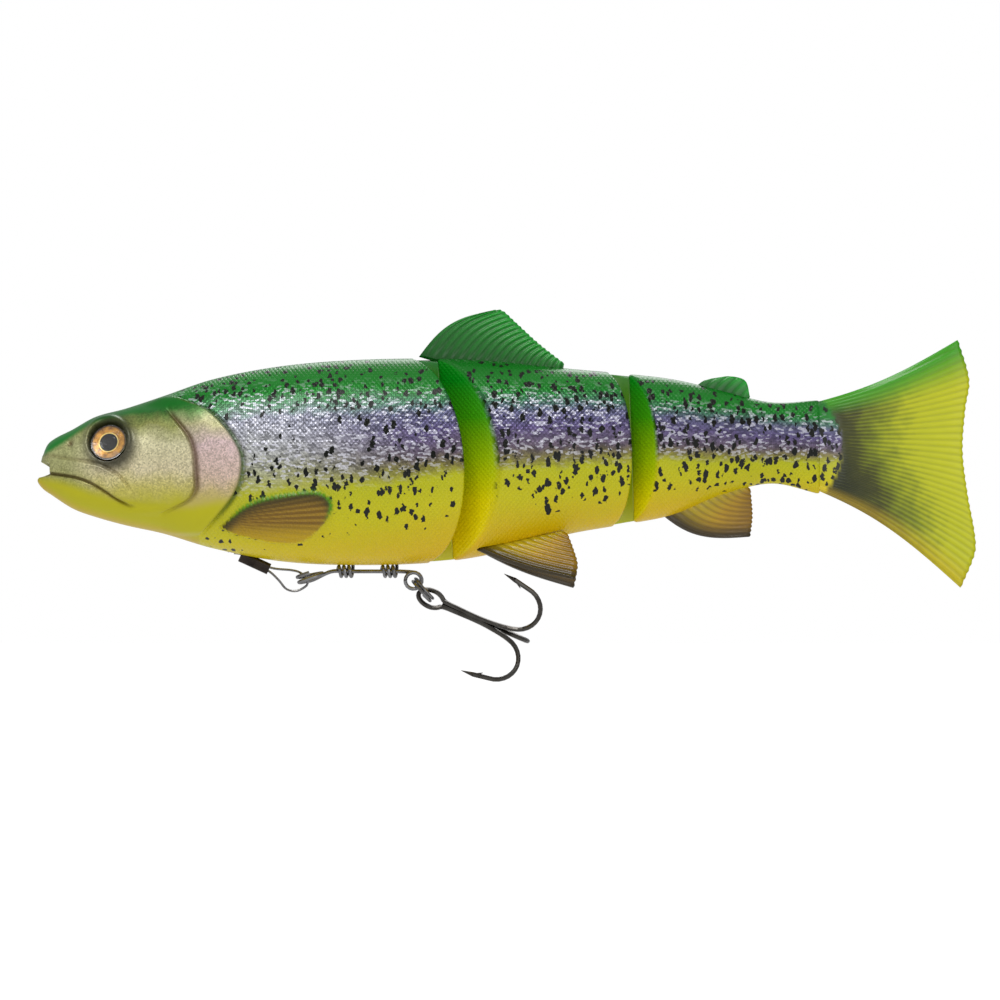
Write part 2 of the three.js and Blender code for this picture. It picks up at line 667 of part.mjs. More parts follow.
const tailZ = (back(TAIL_ROOT_X) + belly(TAIL_ROOT_X)) / 2;
function tailFin() {
  const low = belly(TAIL_ROOT_X) + 0.4;
  const high = back(TAIL_ROOT_X) - 0.4;
  const at = (along, up) => p2(TAIL_ROOT_X + along * TAIL_LENGTH, tailZ + up * TAIL_SPAN);
  const outline = [
    p2(TAIL_ROOT_X, low),
    at(0.4, -0.35),
    at(0.85, -0.53),
    at(0.93, -0.55),
    at(1, -0.4),
    at(0.92, -0.06),
    at(0.92, 0.1),
    at(0.96, 0.38),
    at(0.92, 0.43),
    at(0.85, 0.44),
    at(0.5, 0.31),
    at(0.2, 0.22),
    p2(TAIL_ROOT_X, high),
  ];
  const root = new THREE.CylinderGeometry(TAIL_ROOT_RADIUS, TAIL_ROOT_RADIUS, high - low, 16);
  root.rotateX(Math.PI / 2);
  root.translate(TAIL_ROOT_X, 0, (high + low) / 2);
  return plate(outline, TAIL_THICKNESS, 0.5).add(solid(root));
}

function tailGroove() {
  const groove = new THREE.CylinderGeometry(TAIL_ROOT_RADIUS + GAP, TAIL_ROOT_RADIUS + GAP, FAR, 16);
  groove.rotateX(Math.PI / 2);
  groove.translate(TAIL_ROOT_X, 0, 0);
  return solid(groove);
}

// ---- Eyes ----

function eyePiece(profile, side) {
  const skin = flank(EYE_AT.x, EYE_AT.y);
  const geometry = new THREE.LatheGeometry(profile, 24);
  geometry.rotateX(side < 0 ? Math.PI : 0);
  geometry.rotateX(side * rad(EYE_TILT));
  geometry.rotateZ(side * rad(EYE_TURN));
  geometry.translate(EYE_AT.x, side * skin, EYE_AT.y);
  return solid(geometry);
}
const disc = (radius, low, high) => [p2(0, low), p2(radius, low), p2(radius, high), p2(0, high)];
function dome(radius, low, height) {
  const rise = height - 0.5;
  const steps = [1, 0.92, 0.75, 0.5, 0.25];
  const arc = steps.map((share) => p2(radius * share, low + 0.5 + rise * Math.sqrt(1 - share * share)));
  return [p2(0, low), p2(radius, low), ...arc, p2(0, low + height)];
}
const socket = (side) => eyePiece(disc(EYE_RADIUS + GAP, -SOCKET_DEPTH, 6), side);
const IRIS_BASE = GAP - SOCKET_DEPTH;
const iris = (side) => eyePiece(disc(EYE_RADIUS, IRIS_BASE, IRIS_BASE + IRIS_THICKNESS), side);
const lens = (side) => eyePiece(dome(EYE_RADIUS, IRIS_BASE + IRIS_THICKNESS + GAP, LENS_HEIGHT), side);

// ---- Segments ----

function mouth() {
  return box(v3(-5, -20, -MOUTH_HEIGHT / 2 - 0.2), v3(0, 20, MOUTH_HEIGHT / 2 - 0.2));
}

function frontSegment() {
  const cuts = [
    mouth(),
    socket(-1),
    socket(1),
    alongRoute(TUBE_OUTER + GAP, 12),
    slot(blind(RIBBON_START - GAP), before(FRONT_HINGE, 1), frontFloor),
    frontBallast(GAP),
    ...PIN_PLACES.map(pinRoom),
  ];
  return cuts.reduce((made, cut) => made.subtract(cut), BODY.intersect(aheadOf(FRONT_HINGE)));
}

function middleSegment() {
  const cuts = [
    slot(after(FRONT_HINGE, 1), before(REAR_HINGE, 1), middleFloor),
    middleBallast(GAP),
    plate(dorsalOutline(), DORSAL_THICKNESS + 2 * GAP),
    pelvicRoom(-1),
    pelvicRoom(1),
  ];
  const whole = BODY.intersect(behind(FRONT_HINGE)).intersect(aheadOf(REAR_HINGE));
  return cuts.reduce((made, cut) => made.subtract(cut), whole);
}

function rearSegment() {
  const cuts = [
    slot(after(REAR_HINGE, 1), blind(RIBBON_END + GAP), rearFloor),
    plate(adiposeOutline(), ADIPOSE_THICKNESS + 2 * GAP),
    plate(analOutline(), ANAL_THICKNESS + 2 * GAP),
    tailGroove(),
  ];
  return cuts.reduce((made, cut) => made.subtract(cut), BODY.intersect(behind(REAR_HINGE)));
}

// ---- Assembly ----

const finish = (color, roughness, metalness = 0) =>
  new THREE.MeshStandardMaterial({ color, roughness, metalness });
const SKIN = finish(0x7fa52a, 0.35);
const DORSAL_GREEN = finish(0x0f7a1c, 0.35);
const FIN_BROWN = finish(0xa88420, 0.4);
const TAIL_YELLOW = finish(0xc9c80a, 0.4);
const WEB_TPE = finish(0x7f8f10, 0.45);
const MESH_CLOTH = finish(0xe8e8e0, 0.9);
const LEAD = finish(0x62656a, 0.5, 0.9);
const TUBE_PLASTIC = finish(0xf0f0f0, 0.3);
const GOLD_FOIL = finish(0xc79a3a, 0.3, 0.6);
const CLEAR_RESIN = finish(0xffffff, 0.05);
const STEEL = finish(0xb4b6ba, 0.25, 1);
const BLACK_NICKEL = finish(0x3c3a38, 0.25, 1);
const COPPER_CRIMP = finish(0x4a3524, 0.35, 0.9);

const part = new THREE.Group();
function add(name, manifold, material) {
  const mesh = new THREE.Mesh(geometryOf(manifold), material);
  mesh.name = name;
  part.add(mesh);
}

add("front_segment", frontSegment(), SKIN);
add("middle_segment", middleSegment(), SKIN);
add("rear_segment", rearSegment(), SKIN);
add("tail_fin", tailFin(), TAIL_YELLOW);
add("front_hinge_web", web(FRONT_HINGE), WEB_TPE);
add("rear_hinge_web", web(REAR_HINGE), WEB_TPE);
add("front_mesh_ribbon", ribbon(blind(RIBBON_START), before(FRONT_HINGE, -GAP), frontFloor), MESH_CLOTH);
const middleRibbon = ribbon(after(FRONT_HINGE, -GAP), before(REAR_HINGE, -GAP), middleFloor);
add("middle_mesh_ribbon", middleRibbon, MESH_CLOTH);
add("rear_mesh_ribbon", ribbon(after(REAR_HINGE, -GAP), blind(RIBBON_END), rearFloor), MESH_CLOTH);
add("front_ballast", frontBallast(0), LEAD);
add("middle_ballast", middleBallast(0), LEAD);
for (const [side, name] of [[-1, "left"], [1, "right"]]) {
  add(`${name}_eye_iris`, iris(side), GOLD_FOIL);
  add(`${name}_eye_lens`, lens(side), CLEAR_RESIN);
  add(`${name}_pelvic_fin`, pelvicFin(side), FIN_BROWN);
}
add("dorsal_fin", plate(dorsalOutline(), DORSAL_THICKNESS, 0.4), DORSAL_GREEN);
add("adipose_fin", plate(adiposeOutline(), ADIPOSE_THICKNESS, 0.3), DORSAL_GREEN);
add("anal_fin", plate(analOutline(), ANAL_THICKNESS, 0.3), FIN_BROWN);
add("line_tube", lineTube(), TUBE_PLASTIC);
add("leader_wire", leaderWire(), STEEL);
add("trace_loop", traceWire(), STEEL);
add("crimp_sleeve", crimpSleeve(), COPPER_CRIMP);
add("rig_wire", rigWire(), STEEL);
add("front_belly_pin", bellyPin(PIN_PLACES[0]), STEEL);
add("rear_belly_pin", bellyPin(PIN_PLACES[1]), STEEL);
add("split_ring", splitRing(), STEEL);
add("treble_hook", trebleHook(), BLACK_NICKEL);

export default part;
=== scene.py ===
"""Looks for the jointed soft trout lure. Sizes below are millimetres in the CAD frame: +X to the tail,
+Z up, the left flank at -Y, and the origin where the line enters the mouth. Meshes are made in metres."""
import math

import bmesh
import bpy
import numpy as np
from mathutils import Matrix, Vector


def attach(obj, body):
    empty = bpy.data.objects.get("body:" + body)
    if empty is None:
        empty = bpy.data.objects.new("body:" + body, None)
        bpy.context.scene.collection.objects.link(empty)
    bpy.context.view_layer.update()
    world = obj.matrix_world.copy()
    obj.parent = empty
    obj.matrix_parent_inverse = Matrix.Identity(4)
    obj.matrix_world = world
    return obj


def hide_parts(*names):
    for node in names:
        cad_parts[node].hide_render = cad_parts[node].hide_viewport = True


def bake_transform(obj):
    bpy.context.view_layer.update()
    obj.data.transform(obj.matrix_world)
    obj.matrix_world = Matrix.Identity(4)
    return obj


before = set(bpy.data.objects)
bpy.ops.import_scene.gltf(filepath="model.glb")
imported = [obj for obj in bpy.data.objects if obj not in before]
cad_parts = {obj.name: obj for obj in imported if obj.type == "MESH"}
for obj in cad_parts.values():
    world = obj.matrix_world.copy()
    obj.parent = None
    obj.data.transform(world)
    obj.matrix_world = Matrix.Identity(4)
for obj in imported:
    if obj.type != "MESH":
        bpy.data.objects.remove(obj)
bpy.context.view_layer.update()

MM = 0.001

BODY_DEPTH = 44.5
BODY_WIDTH = 27.6
SEGMENT_STARTS = np.array([0, 80.7, 121.1])
SEGMENT_LENGTHS = np.array([80.7, 40.4, 42.9])
TAIL_ROOT = 164
TAIL_BEND = (161, 170)  # where the tail starts and stops bending away from the rear segment

# The body's profile: [place, back, belly, half width]. Place counts segments from the mouth; the rest
# are per cent of BODY_DEPTH and of half BODY_WIDTH.
STATIONS = np.array([
    [-0.032, -4, -7, 11],
    [-0.016, 8, -10, 25],
    [0, 13, -12, 35],
    [0.06, 19, -19, 50],
    [0.12, 25, -23, 61],
    [0.2, 29, -27, 72],
    [0.3, 35, -31, 82],
    [0.43, 43, -38, 91],
    [0.6, 49, -44, 97],
    [0.78, 52, -46, 100],
    [1, 53, -45, 99],
    [1.32, 52, -41, 94],
    [1.75, 48, -31, 83],
    [2, 46, -27, 74],
    [2.27, 43, -22, 61],
    [2.5, 38, -13, 46],
    [2.76, 32, -7, 31],
    [3, 33, -12, 18],
])
segment_of = np.clip(np.floor(STATIONS[:, 0]), 0, 2).astype(int)
STATION_X = SEGMENT_STARTS[segment_of] + (STATIONS[:, 0] - segment_of) * SEGMENT_LENGTHS[segment_of]
STATION_SIZES = STATIONS[:, 1:] * np.array([BODY_DEPTH, BODY_DEPTH, BODY_WIDTH / 2]) / 100

# Hinges: place at mouth height, lean, and each V's [point from the hinge line, slope]
WEB_SIDE = 1.5
FRONT_HINGE = {"x": 80.7, "lean": -0.078, "cup": (-2.4, 0.76), "nose": (2.3, 1.02)}
REAR_HINGE = {"x": 121.1, "lean": -0.034, "cup": (-2, 0.5), "nose": (1.9, 0.74)}

EYE = (12.6, 6)
EYE_RADIUS = 3.9
NOSTRIL = (4.6, 5.4)
EYE_TILT = math.radians(20)
EYE_TURN = math.radians(15)

# Pelvic fins: how far out each is turned, in degrees, and how far from the middle it stands. The right one,
# behind the left in the main view, hangs lower, so that both show.
PELVIC_SPLAY = {"left": 40, "right": 20}
PELVIC_SIDE = 5

# The stage and camera, in metres, and how bright the floor and the room look straight on
FLOOR_SIZE = 6
FLOOR_HEIGHT = -0.16
FLOOR_LIFT = 0.72
ROOM_LIGHT = 0.42
CAMERA_TARGET = (0.0959, -0.0066)
CAMERA_DISTANCE = 1.5
VIEW_WIDTH = 0.2132
SENSOR_WIDTH = 36
LAMP_TARGET = (0.1, 0, 0)

# Relief lines on the head, (x, z), and the pectoral fin's outline
GILL_EDGE = [(25.6, 15.6), (33.9, 12.4), (40.1, 5.3), (41.2, 0), (39.2, -6), (32, -14.1)]
PREOPERCLE = [(25.2, 12.4), (30, 6.3), (31.2, -0.8), (30.3, -6), (24.1, -9.4)]
MOUTH_LINE = [(-0.4, -0.9), (5.3, -1.7), (8.7, -2.8), (11.7, -4.5), (14.5, -6.4), (17.4, -7.9)]
MAXILLA_TOP = [(-0.4, 2.4), (9.8, 0.9), (12.6, -0.2), (15.6, -2.3), (18.3, -5.8)]
PECTORAL = [(36.7, -12.4), (42.6, -7.5), (51.2, -5.3), (58, -5.1), (60.3, -7.5), (58.8, -11.3),
            (54.2, -15.2), (48.4, -15.6), (40, -13.8)]


# ---- Curves and profile ----

def turn_pair(a, b, angle):
    """Turns a point's two coordinates by an angle."""
    return a * math.cos(angle) - b * math.sin(angle), a * math.sin(angle) + b * math.cos(angle)


def hermite(xs, ys, x):
    xs, ys, x = np.asarray(xs, float), np.asarray(ys, float), np.asarray(x, float)
    slopes = np.empty_like(ys)
    slopes[1:-1] = (ys[2:] - ys[:-2]) / (xs[2:] - xs[:-2])
    slopes[0] = (ys[1] - ys[0]) / (xs[1] - xs[0])
    slopes[-1] = (ys[-1] - ys[-2]) / (xs[-1] - xs[-2])
    i = np.clip(np.searchsorted(xs, x, side="right") - 1, 0, len(xs) - 2)
    width = xs[i + 1] - xs[i]
    t = np.clip((x - xs[i]) / width, 0, 1)
    rise = ys[i + 1] - ys[i]
    m, n = slopes[i] * width, slopes[i + 1] * width
    return ys[i] + t * m + t**2 * (3 * rise - 2 * m - n) + t**3 * (m + n - 2 * rise)


def profile(x):
    return [hermite(STATION_X, STATION_SIZES[:, k], x) for k in range(3)]


def smooth(low, high, value):
    t = np.clip((value - low) / (high - low), 0, 1)
    return t * t * (3 - 2 * t)


def curve_points(points, count):
    points = np.array(points, float)
    steps = np.concatenate([[0], np.cumsum(np.linalg.norm(np.diff(points, axis=0), axis=1))])
    at = np.linspace(0, steps[-1], count)
    return np.stack([hermite(steps, points[:, k], at) for k in range(points.shape[1])], axis=1)


def line_distance(points, x, z):
    best = np.full(x.shape, 1e9)
    for px, pz in curve_points(points, 60):
        best = np.minimum(best, np.hypot(x - px, z - pz))
    return best


def inside_outline(points, x, z):
    inside = np.zeros(x.shape, bool)
    loop = np.array(points)
    for (ax, az), (bx, bz) in zip(loop, np.roll(loop, -1, axis=0)):
        crosses = (az > z) != (bz > z)
        inside ^= crosses & (x < (bx - ax) * (z - az) / (bz - az + 1e-12) + ax)
    return inside


def edge_x(points, z):
    """How far back a head edge lies at a height."""
    line = np.array(sorted(points, key=lambda p: p[1]))
    return hermite(line[:, 1], line[:, 0], z)


# ---- Relief of the skin: how far it stands out, in millimetres ----

def groove(distance, width):
    return np.exp(-(distance / width) ** 2)


def jaw_lines(x):
    return hermite(*np.array(MOUTH_LINE).T, x), hermite(*np.array(MAXILLA_TOP).T, x)


def eye_distance(x, z):
    return np.hypot((x - EYE[0]) / 0.95, z - EYE[1])


def head_relief(x, z):
    gill = edge_x(GILL_EDGE, z) - x
    in_height = smooth(-14.6, -12.5, z) * smooth(16.4, 14.2, z)
    out = 0.8 * smooth(-0.15, 0.5, gill) * smooth(12, 3, gill) * in_height
    out -= 0.45 * groove(gill + 0.5, 0.45) * in_height
    cheek = edge_x(PREOPERCLE, z) - x
    cheek_height = smooth(-10.4, -8, z) * smooth(13.6, 11, z)
    out += 0.5 * smooth(-0.2, 0.6, cheek) * smooth(9, 2, cheek) * cheek_height
    out -= 0.5 * groove(cheek + 0.4, 0.5) * cheek_height
    jaw = smooth(19, 16, x)
    lower, upper = jaw_lines(x)
    out += 0.5 * smooth(lower - 0.1, lower + 0.4, z) * smooth(upper + 0.5, upper - 0.3, z) * jaw
    out -= 0.8 * groove(z - lower, 0.4) * jaw
    out -= 0.35 * groove(z - upper - 0.5, 0.4) * jaw * smooth(0, 4, x)
    r = eye_distance(x, z)
    out += 0.4 * groove(r - 4.9, 0.6)
    out -= 2.2 * smooth(4.5, 4.0, r)
    return out - 0.5 * groove(np.hypot(x - NOSTRIL[0], z - NOSTRIL[1]), 0.55)


def fin_rays(x, z):
    return np.sin(np.arctan2(z + 11.2, x - 28) * 150)


def pectoral_inside(x, z):
    """Distance to the pectoral fin's outline, positive inside it."""
    near = line_distance(PECTORAL + [PECTORAL[0]], x, z)
    inside = inside_outline(curve_points(PECTORAL + [PECTORAL[0]], 60), x, z)
    return np.where(inside, near, -near)


def relief(x, z):
    fin = smooth(-0.4, 0.4, pectoral_inside(x, z))
    out = np.where(x < 46, head_relief(x, z), 0)
    out += fin * (0.8 + 0.1 * fin_rays(x, z))
    out -= 0.12 * groove(z - 6.2, 0.3) * smooth(42, 45, x)
    return out


# ---- Paint maps, one value a vertex ----

GREEN_EDGE = [(-3, 1.8), (2, 4.7), (10, 9.8), (20, 12), (30, 13.4), (45, 15), (90, 15.6), (119, 15.6),
              (132, 13.6), (168, 10)]
YELLOW_EDGE = [(0, -6), (26, -8), (45, -4.5), (70, -3), (88, -0.5), (118, 1.2), (130, 2), (168, 1.4)]
CHIN_EDGE = [(-3, -1.2), (4, -3), (12, -5.8), (20, -7.6), (30, -8.4), (38, -6.5), (46, -5)]


def paint_maps(x, z):
    green = hermite(*np.array(GREEN_EDGE).T, x)
    yellow = hermite(*np.array(YELLOW_EDGE).T, x)
    band = (z - yellow) / (green - yellow)
    gill = edge_x(GILL_EDGE, z) - x
    head = smooth(-0.1, 0.3, gill)
    cheek = edge_x(PREOPERCLE, z) - x
    plate_height = smooth(-13.5, -9, z) * smooth(15, 12, z)
    lower, upper = jaw_lines(x)
    # Painted shade: a dark line along the gill edge's groove.
    gill_groove_shade = groove(gill + 0.3, 0.55) * smooth(-13.5, -7, z) * smooth(16, 14, z)
    # Painted shade: dark lines along the preopercle's groove, the jaw's grooves and the nostril, where
    # shade falls in them.
    line = groove(cheek + 0.4, 0.75) * smooth(-9, -3, z) * smooth(13.5, 10, z)
    line += (0.9 * groove(z - lower, 0.4) + 0.4 * groove(z - upper - 0.5, 0.4)) * smooth(19, 15, x)
    line += groove(np.hypot(x - NOSTRIL[0], z - NOSTRIL[1]), 0.7)
    rear = smooth(40, 140, x)
    spots = 0.34 + 0.36 * rear + (0.55 - 0.2 * rear) * groove(band - 1.05, 0.28)
    spots += 0.4 * groove(band - 0.05, 0.4)
    spots -= (0.34 - 0.3 * rear) * groove(band - 0.62, 0.22)
    spots = spots * smooth(0.1, -1.5, gill) * smooth(-0.72, -0.4, band) * smooth(1.75, 1.25, band)
    fin = pectoral_inside(x, z)
    top_edge = hermite(*np.array(sorted(PECTORAL[:5])).T, np.clip(x, 36.7, 60.3)) - z
    return {
        "band": band,
        "head": head,
        "gill_plate": head * smooth(0.2, -0.6, cheek) * plate_height,
        "spots": spots,
        "chin": smooth(1.2, -1.4, z - hermite(*np.array(CHIN_EDGE).T, x)) * smooth(46, 34, x),
        "cap": smooth(-0.7, 0.9, z - green),
        "line": np.clip(line, 0, 1),
        "gill_edge_shade": gill_groove_shade,
        "violet": smooth(40, 82, x),
        "eye_ring": smooth(7.6, 4.2, eye_distance(x - 0.8, z + 0.5)),
        "pectoral": smooth(-0.4, 0.4, fin),
        "pectoral_rim": groove(fin - 0.1, 0.45),
        "pectoral_ray": fin_rays(x, z),
        "pectoral_top": smooth(4.4, 0.2, top_edge),
        "chin_depth": smooth(-1.2, 0.2, (z - (profile(x)[1] + 2.2)) / 4),
    }


# ---- Mesh makers ----

def mesh_object(name, points, faces, maps=None):
    mesh = bpy.data.meshes.new(name)
    mesh.from_pydata((np.asarray(points) * MM).tolist(), [], faces)
    for key, values in (maps or {}).items():
        mesh.attributes.new(key, "FLOAT", "POINT").data.foreach_set("value", values.astype(np.float32))
    mesh.validate()
    mesh.polygons.foreach_set("use_smooth", [True] * len(mesh.polygons))
    obj = bpy.data.objects.new(name, mesh)
    bpy.context.scene.collection.objects.link(obj)
    return obj


def tube_faces(rows, around, close_ends=True):
    a = np.arange((rows - 1) * around).reshape(rows - 1, around)
    b = np.roll(a, -1, axis=1)
    faces = np.stack([a, b, b + around, a + around], axis=-1).reshape(-1, 4).tolist()
    if close_ends:
        last = (rows - 1) * around
        faces.append(list(range(around))[::-1])
        faces.append(list(range(last, last + around)))
    return faces


def face_x(hinge, side, y, z):
    at, slope = hinge[side]
    return hinge["x"] + hinge["lean"] * z + at + slope * np.maximum(np.abs(y), WEB_SIDE)


def skin(x, turn):
    back, belly, half = profile(x)
    return half * np.cos(turn), (back + belly) / 2 + (back - belly) / 2 * np.sin(turn)


def rim_x(hinge, side, turn):
    x = np.full(turn.shape, float(hinge["x"]))
    for _ in range(40):
        x = face_x(hinge, side, *skin(x, turn))
    return x


def segment_end(end, turn):
    return rim_x(*end, turn) if isinstance(end, tuple) else np.full(turn.shape, float(end))


def segment(name, ahead, behind, rows, around, face_rows=12):
    """A body segment: a face, the skin, and a face. ahead and behind are (hinge, side) or a plain x."""
    turn = np.linspace(0, 2 * math.pi, around, endpoint=False)
    ends = [segment_end(end, turn) for end in (ahead, behind)]
    rings, neck = [], []
    for s in np.linspace(0, 1, rows):
        x = ends[0] + (ends[1] - ends[0]) * s
        y, z = skin(x, turn)
        side = smooth(0.12, 0.4, np.abs(np.cos(turn)))
        lift = relief(x, z) * side
        edge = min(s, 1 - s) * rows
        lift = lift * smooth(0, 4, edge) - 0.3 * max(0, 1 - edge / 2) ** 2
        back, belly, half = profile(x)
        normal = np.stack([np.cos(turn) / half, np.sin(turn) / ((back - belly) / 2)])
        normal /= np.linalg.norm(normal, axis=0)
        rings.append(np.stack([x, y + lift * normal[0], z + lift * normal[1]], axis=1))
        neck.append(np.zeros(around))
    for end, at_start in ((ahead, True), (behind, False)):
        rim = rings[0] if at_start else rings[-1]
        added = []
        for t in np.linspace(1, 0.02, face_rows)[1:]:
            ring = rim.copy()
            ring[:, 1] *= t
            if isinstance(end, tuple):
                ring[:, 0] = face_x(*end, ring[:, 1], ring[:, 2])
            else:
                ring[:, 2] = rim[:, 2].mean() + (rim[:, 2] - rim[:, 2].mean()) * t
            added.append(ring)
        values = [np.ones(around) if isinstance(end, tuple) else np.zeros(around)] * len(added)
        if at_start:
            rings = added[::-1] + rings
            neck = values + neck
        else:
            rings += added
            neck += values
    points = np.concatenate(rings)
    maps = paint_maps(points[:, 0], points[:, 2])
    maps["neck"] = np.concatenate(neck)
    return mesh_object(name, points, tube_faces(len(rings), around), maps)


def open_mouth(obj):
    """Pushes the skin between the jaws back to the recess's wall, and the line's hole in from there."""
    co = np.array([v.co for v in obj.data.vertices]) / MM
    x, y, z = co.T
    gap = smooth(1.7, 1.2, np.abs(z + 0.2)) * (x < 1.2)
    depth = 0.2 + 2.5 * smooth(1.1, 0.7, np.hypot(y, z))
    co[:, 0] = np.where(gap > 0, x + np.maximum(depth - x, 0) * gap, x)
    obj.data.vertices.foreach_set("co", (co * MM).ravel())


def fin(name, root, edge, rays, root_half, edge_half, columns=160, rows=22, ridge=0.2,
        bow=((0, 0), (0, 0)), notch=0.0, stump=0.0):
    """A rayed fin between a root curve and an outer edge, both (x, z), as a closed two-sided sheet.

    bow moves the middle of the first and the last ray by (x, z), and the rays between them in proportion.
    stump swells the root to that half thickness, round across the fin, as a tail's base is."""
    a = curve_points(root, columns)
    b = curve_points(edge, columns)
    u = np.linspace(0, 1, columns)
    phase = u * rays * 2 * math.pi
    scallop = notch * (0.5 + 0.5 * np.cos(phase))
    v = np.linspace(0, 1, rows)
    along = b - a
    b = a + along * (1 - scallop / np.maximum(np.linalg.norm(along, axis=1), 1))[:, None]
    grid = a[None] + (b - a)[None] * v[:, None, None]
    bend = np.outer(1 - u, bow[0]) + np.outer(u, bow[1])
    grid += bend[None] * np.sin(math.pi * v)[:, None, None]
    rim = np.minimum(smooth(0, 0.03, u), smooth(1, 0.97, u))
    half = (root_half + (edge_half - root_half) * v)[:, None] * (0.35 + 0.65 * rim)[None]
    half = half + ridge / 2 * np.sin(phase)[None] * smooth(0.02, 0.25, v)[:, None]
    half = half * (1 - 0.6 * smooth(0.93, 1, v))[:, None]
    round_base = np.sqrt(np.maximum(1 - (2 * u - 1) ** 2, 0))[None] * stump
    half = np.maximum(half, round_base * smooth(0.42, 0.0, v)[:, None])
    half = np.maximum(half, 0.08)
    left = np.stack([grid[..., 0], -half, grid[..., 1]], axis=-1)
    right = np.stack([grid[..., 0], half, grid[..., 1]], axis=-1)[:, ::-1]
    points = np.concatenate([left, right], axis=1).reshape(-1, 3)
    across = np.concatenate([np.tile(u, (rows, 1)), np.tile(u[::-1], (rows, 1))], axis=1).ravel()
    maps = paint_maps(points[:, 0], points[:, 2])
    maps.update({"ray": across * rays, "out": np.repeat(v, 2 * columns), "across": across})
    maps["base"] = smooth(0.35, -0.35, points[:, 0] - tail_base_x(points[:, 2]))
    return mesh_object(name, points, tube_faces(rows, 2 * columns), maps)


def tail_base_x(z):
    """Where the body's paint ends on the tail at a height: a line bulging towards the tail."""
    return 168.8 - 0.04 * (z - 4.5) ** 2


# ---- Materials ----

def srgb(r, g, b):
    shares = [channel / 255 for channel in (r, g, b)]
    return tuple(c / 12.92 if c <= 0.04045 else ((c + 0.055) / 1.055) ** 2.4 for c in shares) + (1,)


class Shader:
    """A Principled material and short ways to add nodes to it."""

    def __init__(self, name):
        self.material = bpy.data.materials.new(name)
        self.material.use_nodes = True
        self.tree = self.material.node_tree
        self.bsdf = self.tree.nodes["Principled BSDF"]

    def put(self, socket, value):
        if isinstance(value, bpy.types.NodeSocket):
            self.tree.links.new(value, socket)
        elif value is not None:
            socket.default_value = value

    def set(self, **values):
        for key, value in values.items():
            self.put(self.bsdf.inputs[key.replace("_", " ")], value)

    def math(self, operation, a, b=None, clamp=False):
        node = self.tree.nodes.new("ShaderNodeMath")
        node.operation = operation
        node.use_clamp = clamp
        self.put(node.inputs[0], a)
        self.put(node.inputs[1], b)
        return node.outputs[0]

    def step(self, value, low, high):
        node = self.tree.nodes.new("ShaderNodeMapRange")
        node.interpolation_type = "SMOOTHSTEP"
        self.put(node.inputs["Value"], value)
        self.put(node.inputs["From Min"], low)
        self.put(node.inputs["From Max"], high)
        return node.outputs[0]

    def mix(self, factor, a, b, blend="MIX"):
        node = self.tree.nodes.new("ShaderNodeMix")
        node.data_type = "RGBA"
        node.blend_type = blend
        self.put(node.inputs["Factor"], factor)
        self.put(node.inputs[6], a)
        self.put(node.inputs[7], b)
        return node.outputs[2]

    def attribute(self, name):
        node = self.tree.nodes.new("ShaderNodeAttribute")
        node.attribute_name = name
        return node.outputs["Fac"]

    def place(self):
        return self.tree.nodes.new("ShaderNodeTexCoord").outputs["Object"]

    def axes(self):
        node = self.tree.nodes.new("ShaderNodeSeparateXYZ")
        self.put(node.inputs[0], self.place())
        return [self.math("MULTIPLY", out, 1000) for out in node.outputs]

    def noise(self, size, detail=2, vector=None):
        node = self.tree.nodes.new("ShaderNodeTexNoise")
        self.put(node.inputs["Vector"], vector or self.place())
        node.inputs["Scale"].default_value = 1000 / size
        node.inputs["Detail"].default_value = detail
        return node.outputs["Fac"], node.outputs["Color"]

    def voronoi(self, size, vector=None):
        node = self.tree.nodes.new("ShaderNodeTexVoronoi")
        self.put(node.inputs["Vector"], vector or self.place())
        node.inputs["Scale"].default_value = 1000 / size
        return node.outputs["Distance"], node.outputs["Color"]

    def wobble(self, size, amount):
        """The object's own coordinates, shaken by noise by amount millimetres."""
        shake = self.tree.nodes.new("ShaderNodeVectorMath")
        shake.operation = "SCALE"
        self.put(shake.inputs[0], self.noise(size)[1])
        shake.inputs["Scale"].default_value = amount * MM
        add = self.tree.nodes.new("ShaderNodeVectorMath")
        self.put(add.inputs[0], self.place())
        self.put(add.inputs[1], shake.outputs[0])
        return add.outputs[0]

    def ramp(self, value, stops):
        node = self.tree.nodes.new("ShaderNodeValToRGB")
        self.put(node.inputs[0], value)
        ramp = node.color_ramp
        while len(ramp.elements) < len(stops):
            ramp.elements.new(0.5)
        for element, (position, color) in zip(ramp.elements, stops):
            element.position = position
            element.color = color
        return node.outputs[0]

    def bump(self, height, distance, strength=1.0, normal=None):
        node = self.tree.nodes.new("ShaderNodeBump")
        node.inputs["Strength"].default_value = strength
        node.inputs["Distance"].default_value = distance * MM
        self.put(node.inputs["Height"], height)
        self.put(node.inputs["Normal"], normal)
        return node.outputs[0]


def scale_pattern(s, pitch):
    """Diamond scales: two crossing sets of slanted ridges over the flank."""
    x, _, z = s.axes()
    turns = math.pi / pitch
    slant = s.math("MULTIPLY", z, 0.85)
    one = s.math("SINE", s.math("MULTIPLY", s.math("ADD", x, slant), turns))
    two = s.math("SINE", s.math("MULTIPLY", s.math("SUBTRACT", x, slant), turns))
    return s.math("ABSOLUTE", s.math("MULTIPLY", one, two))


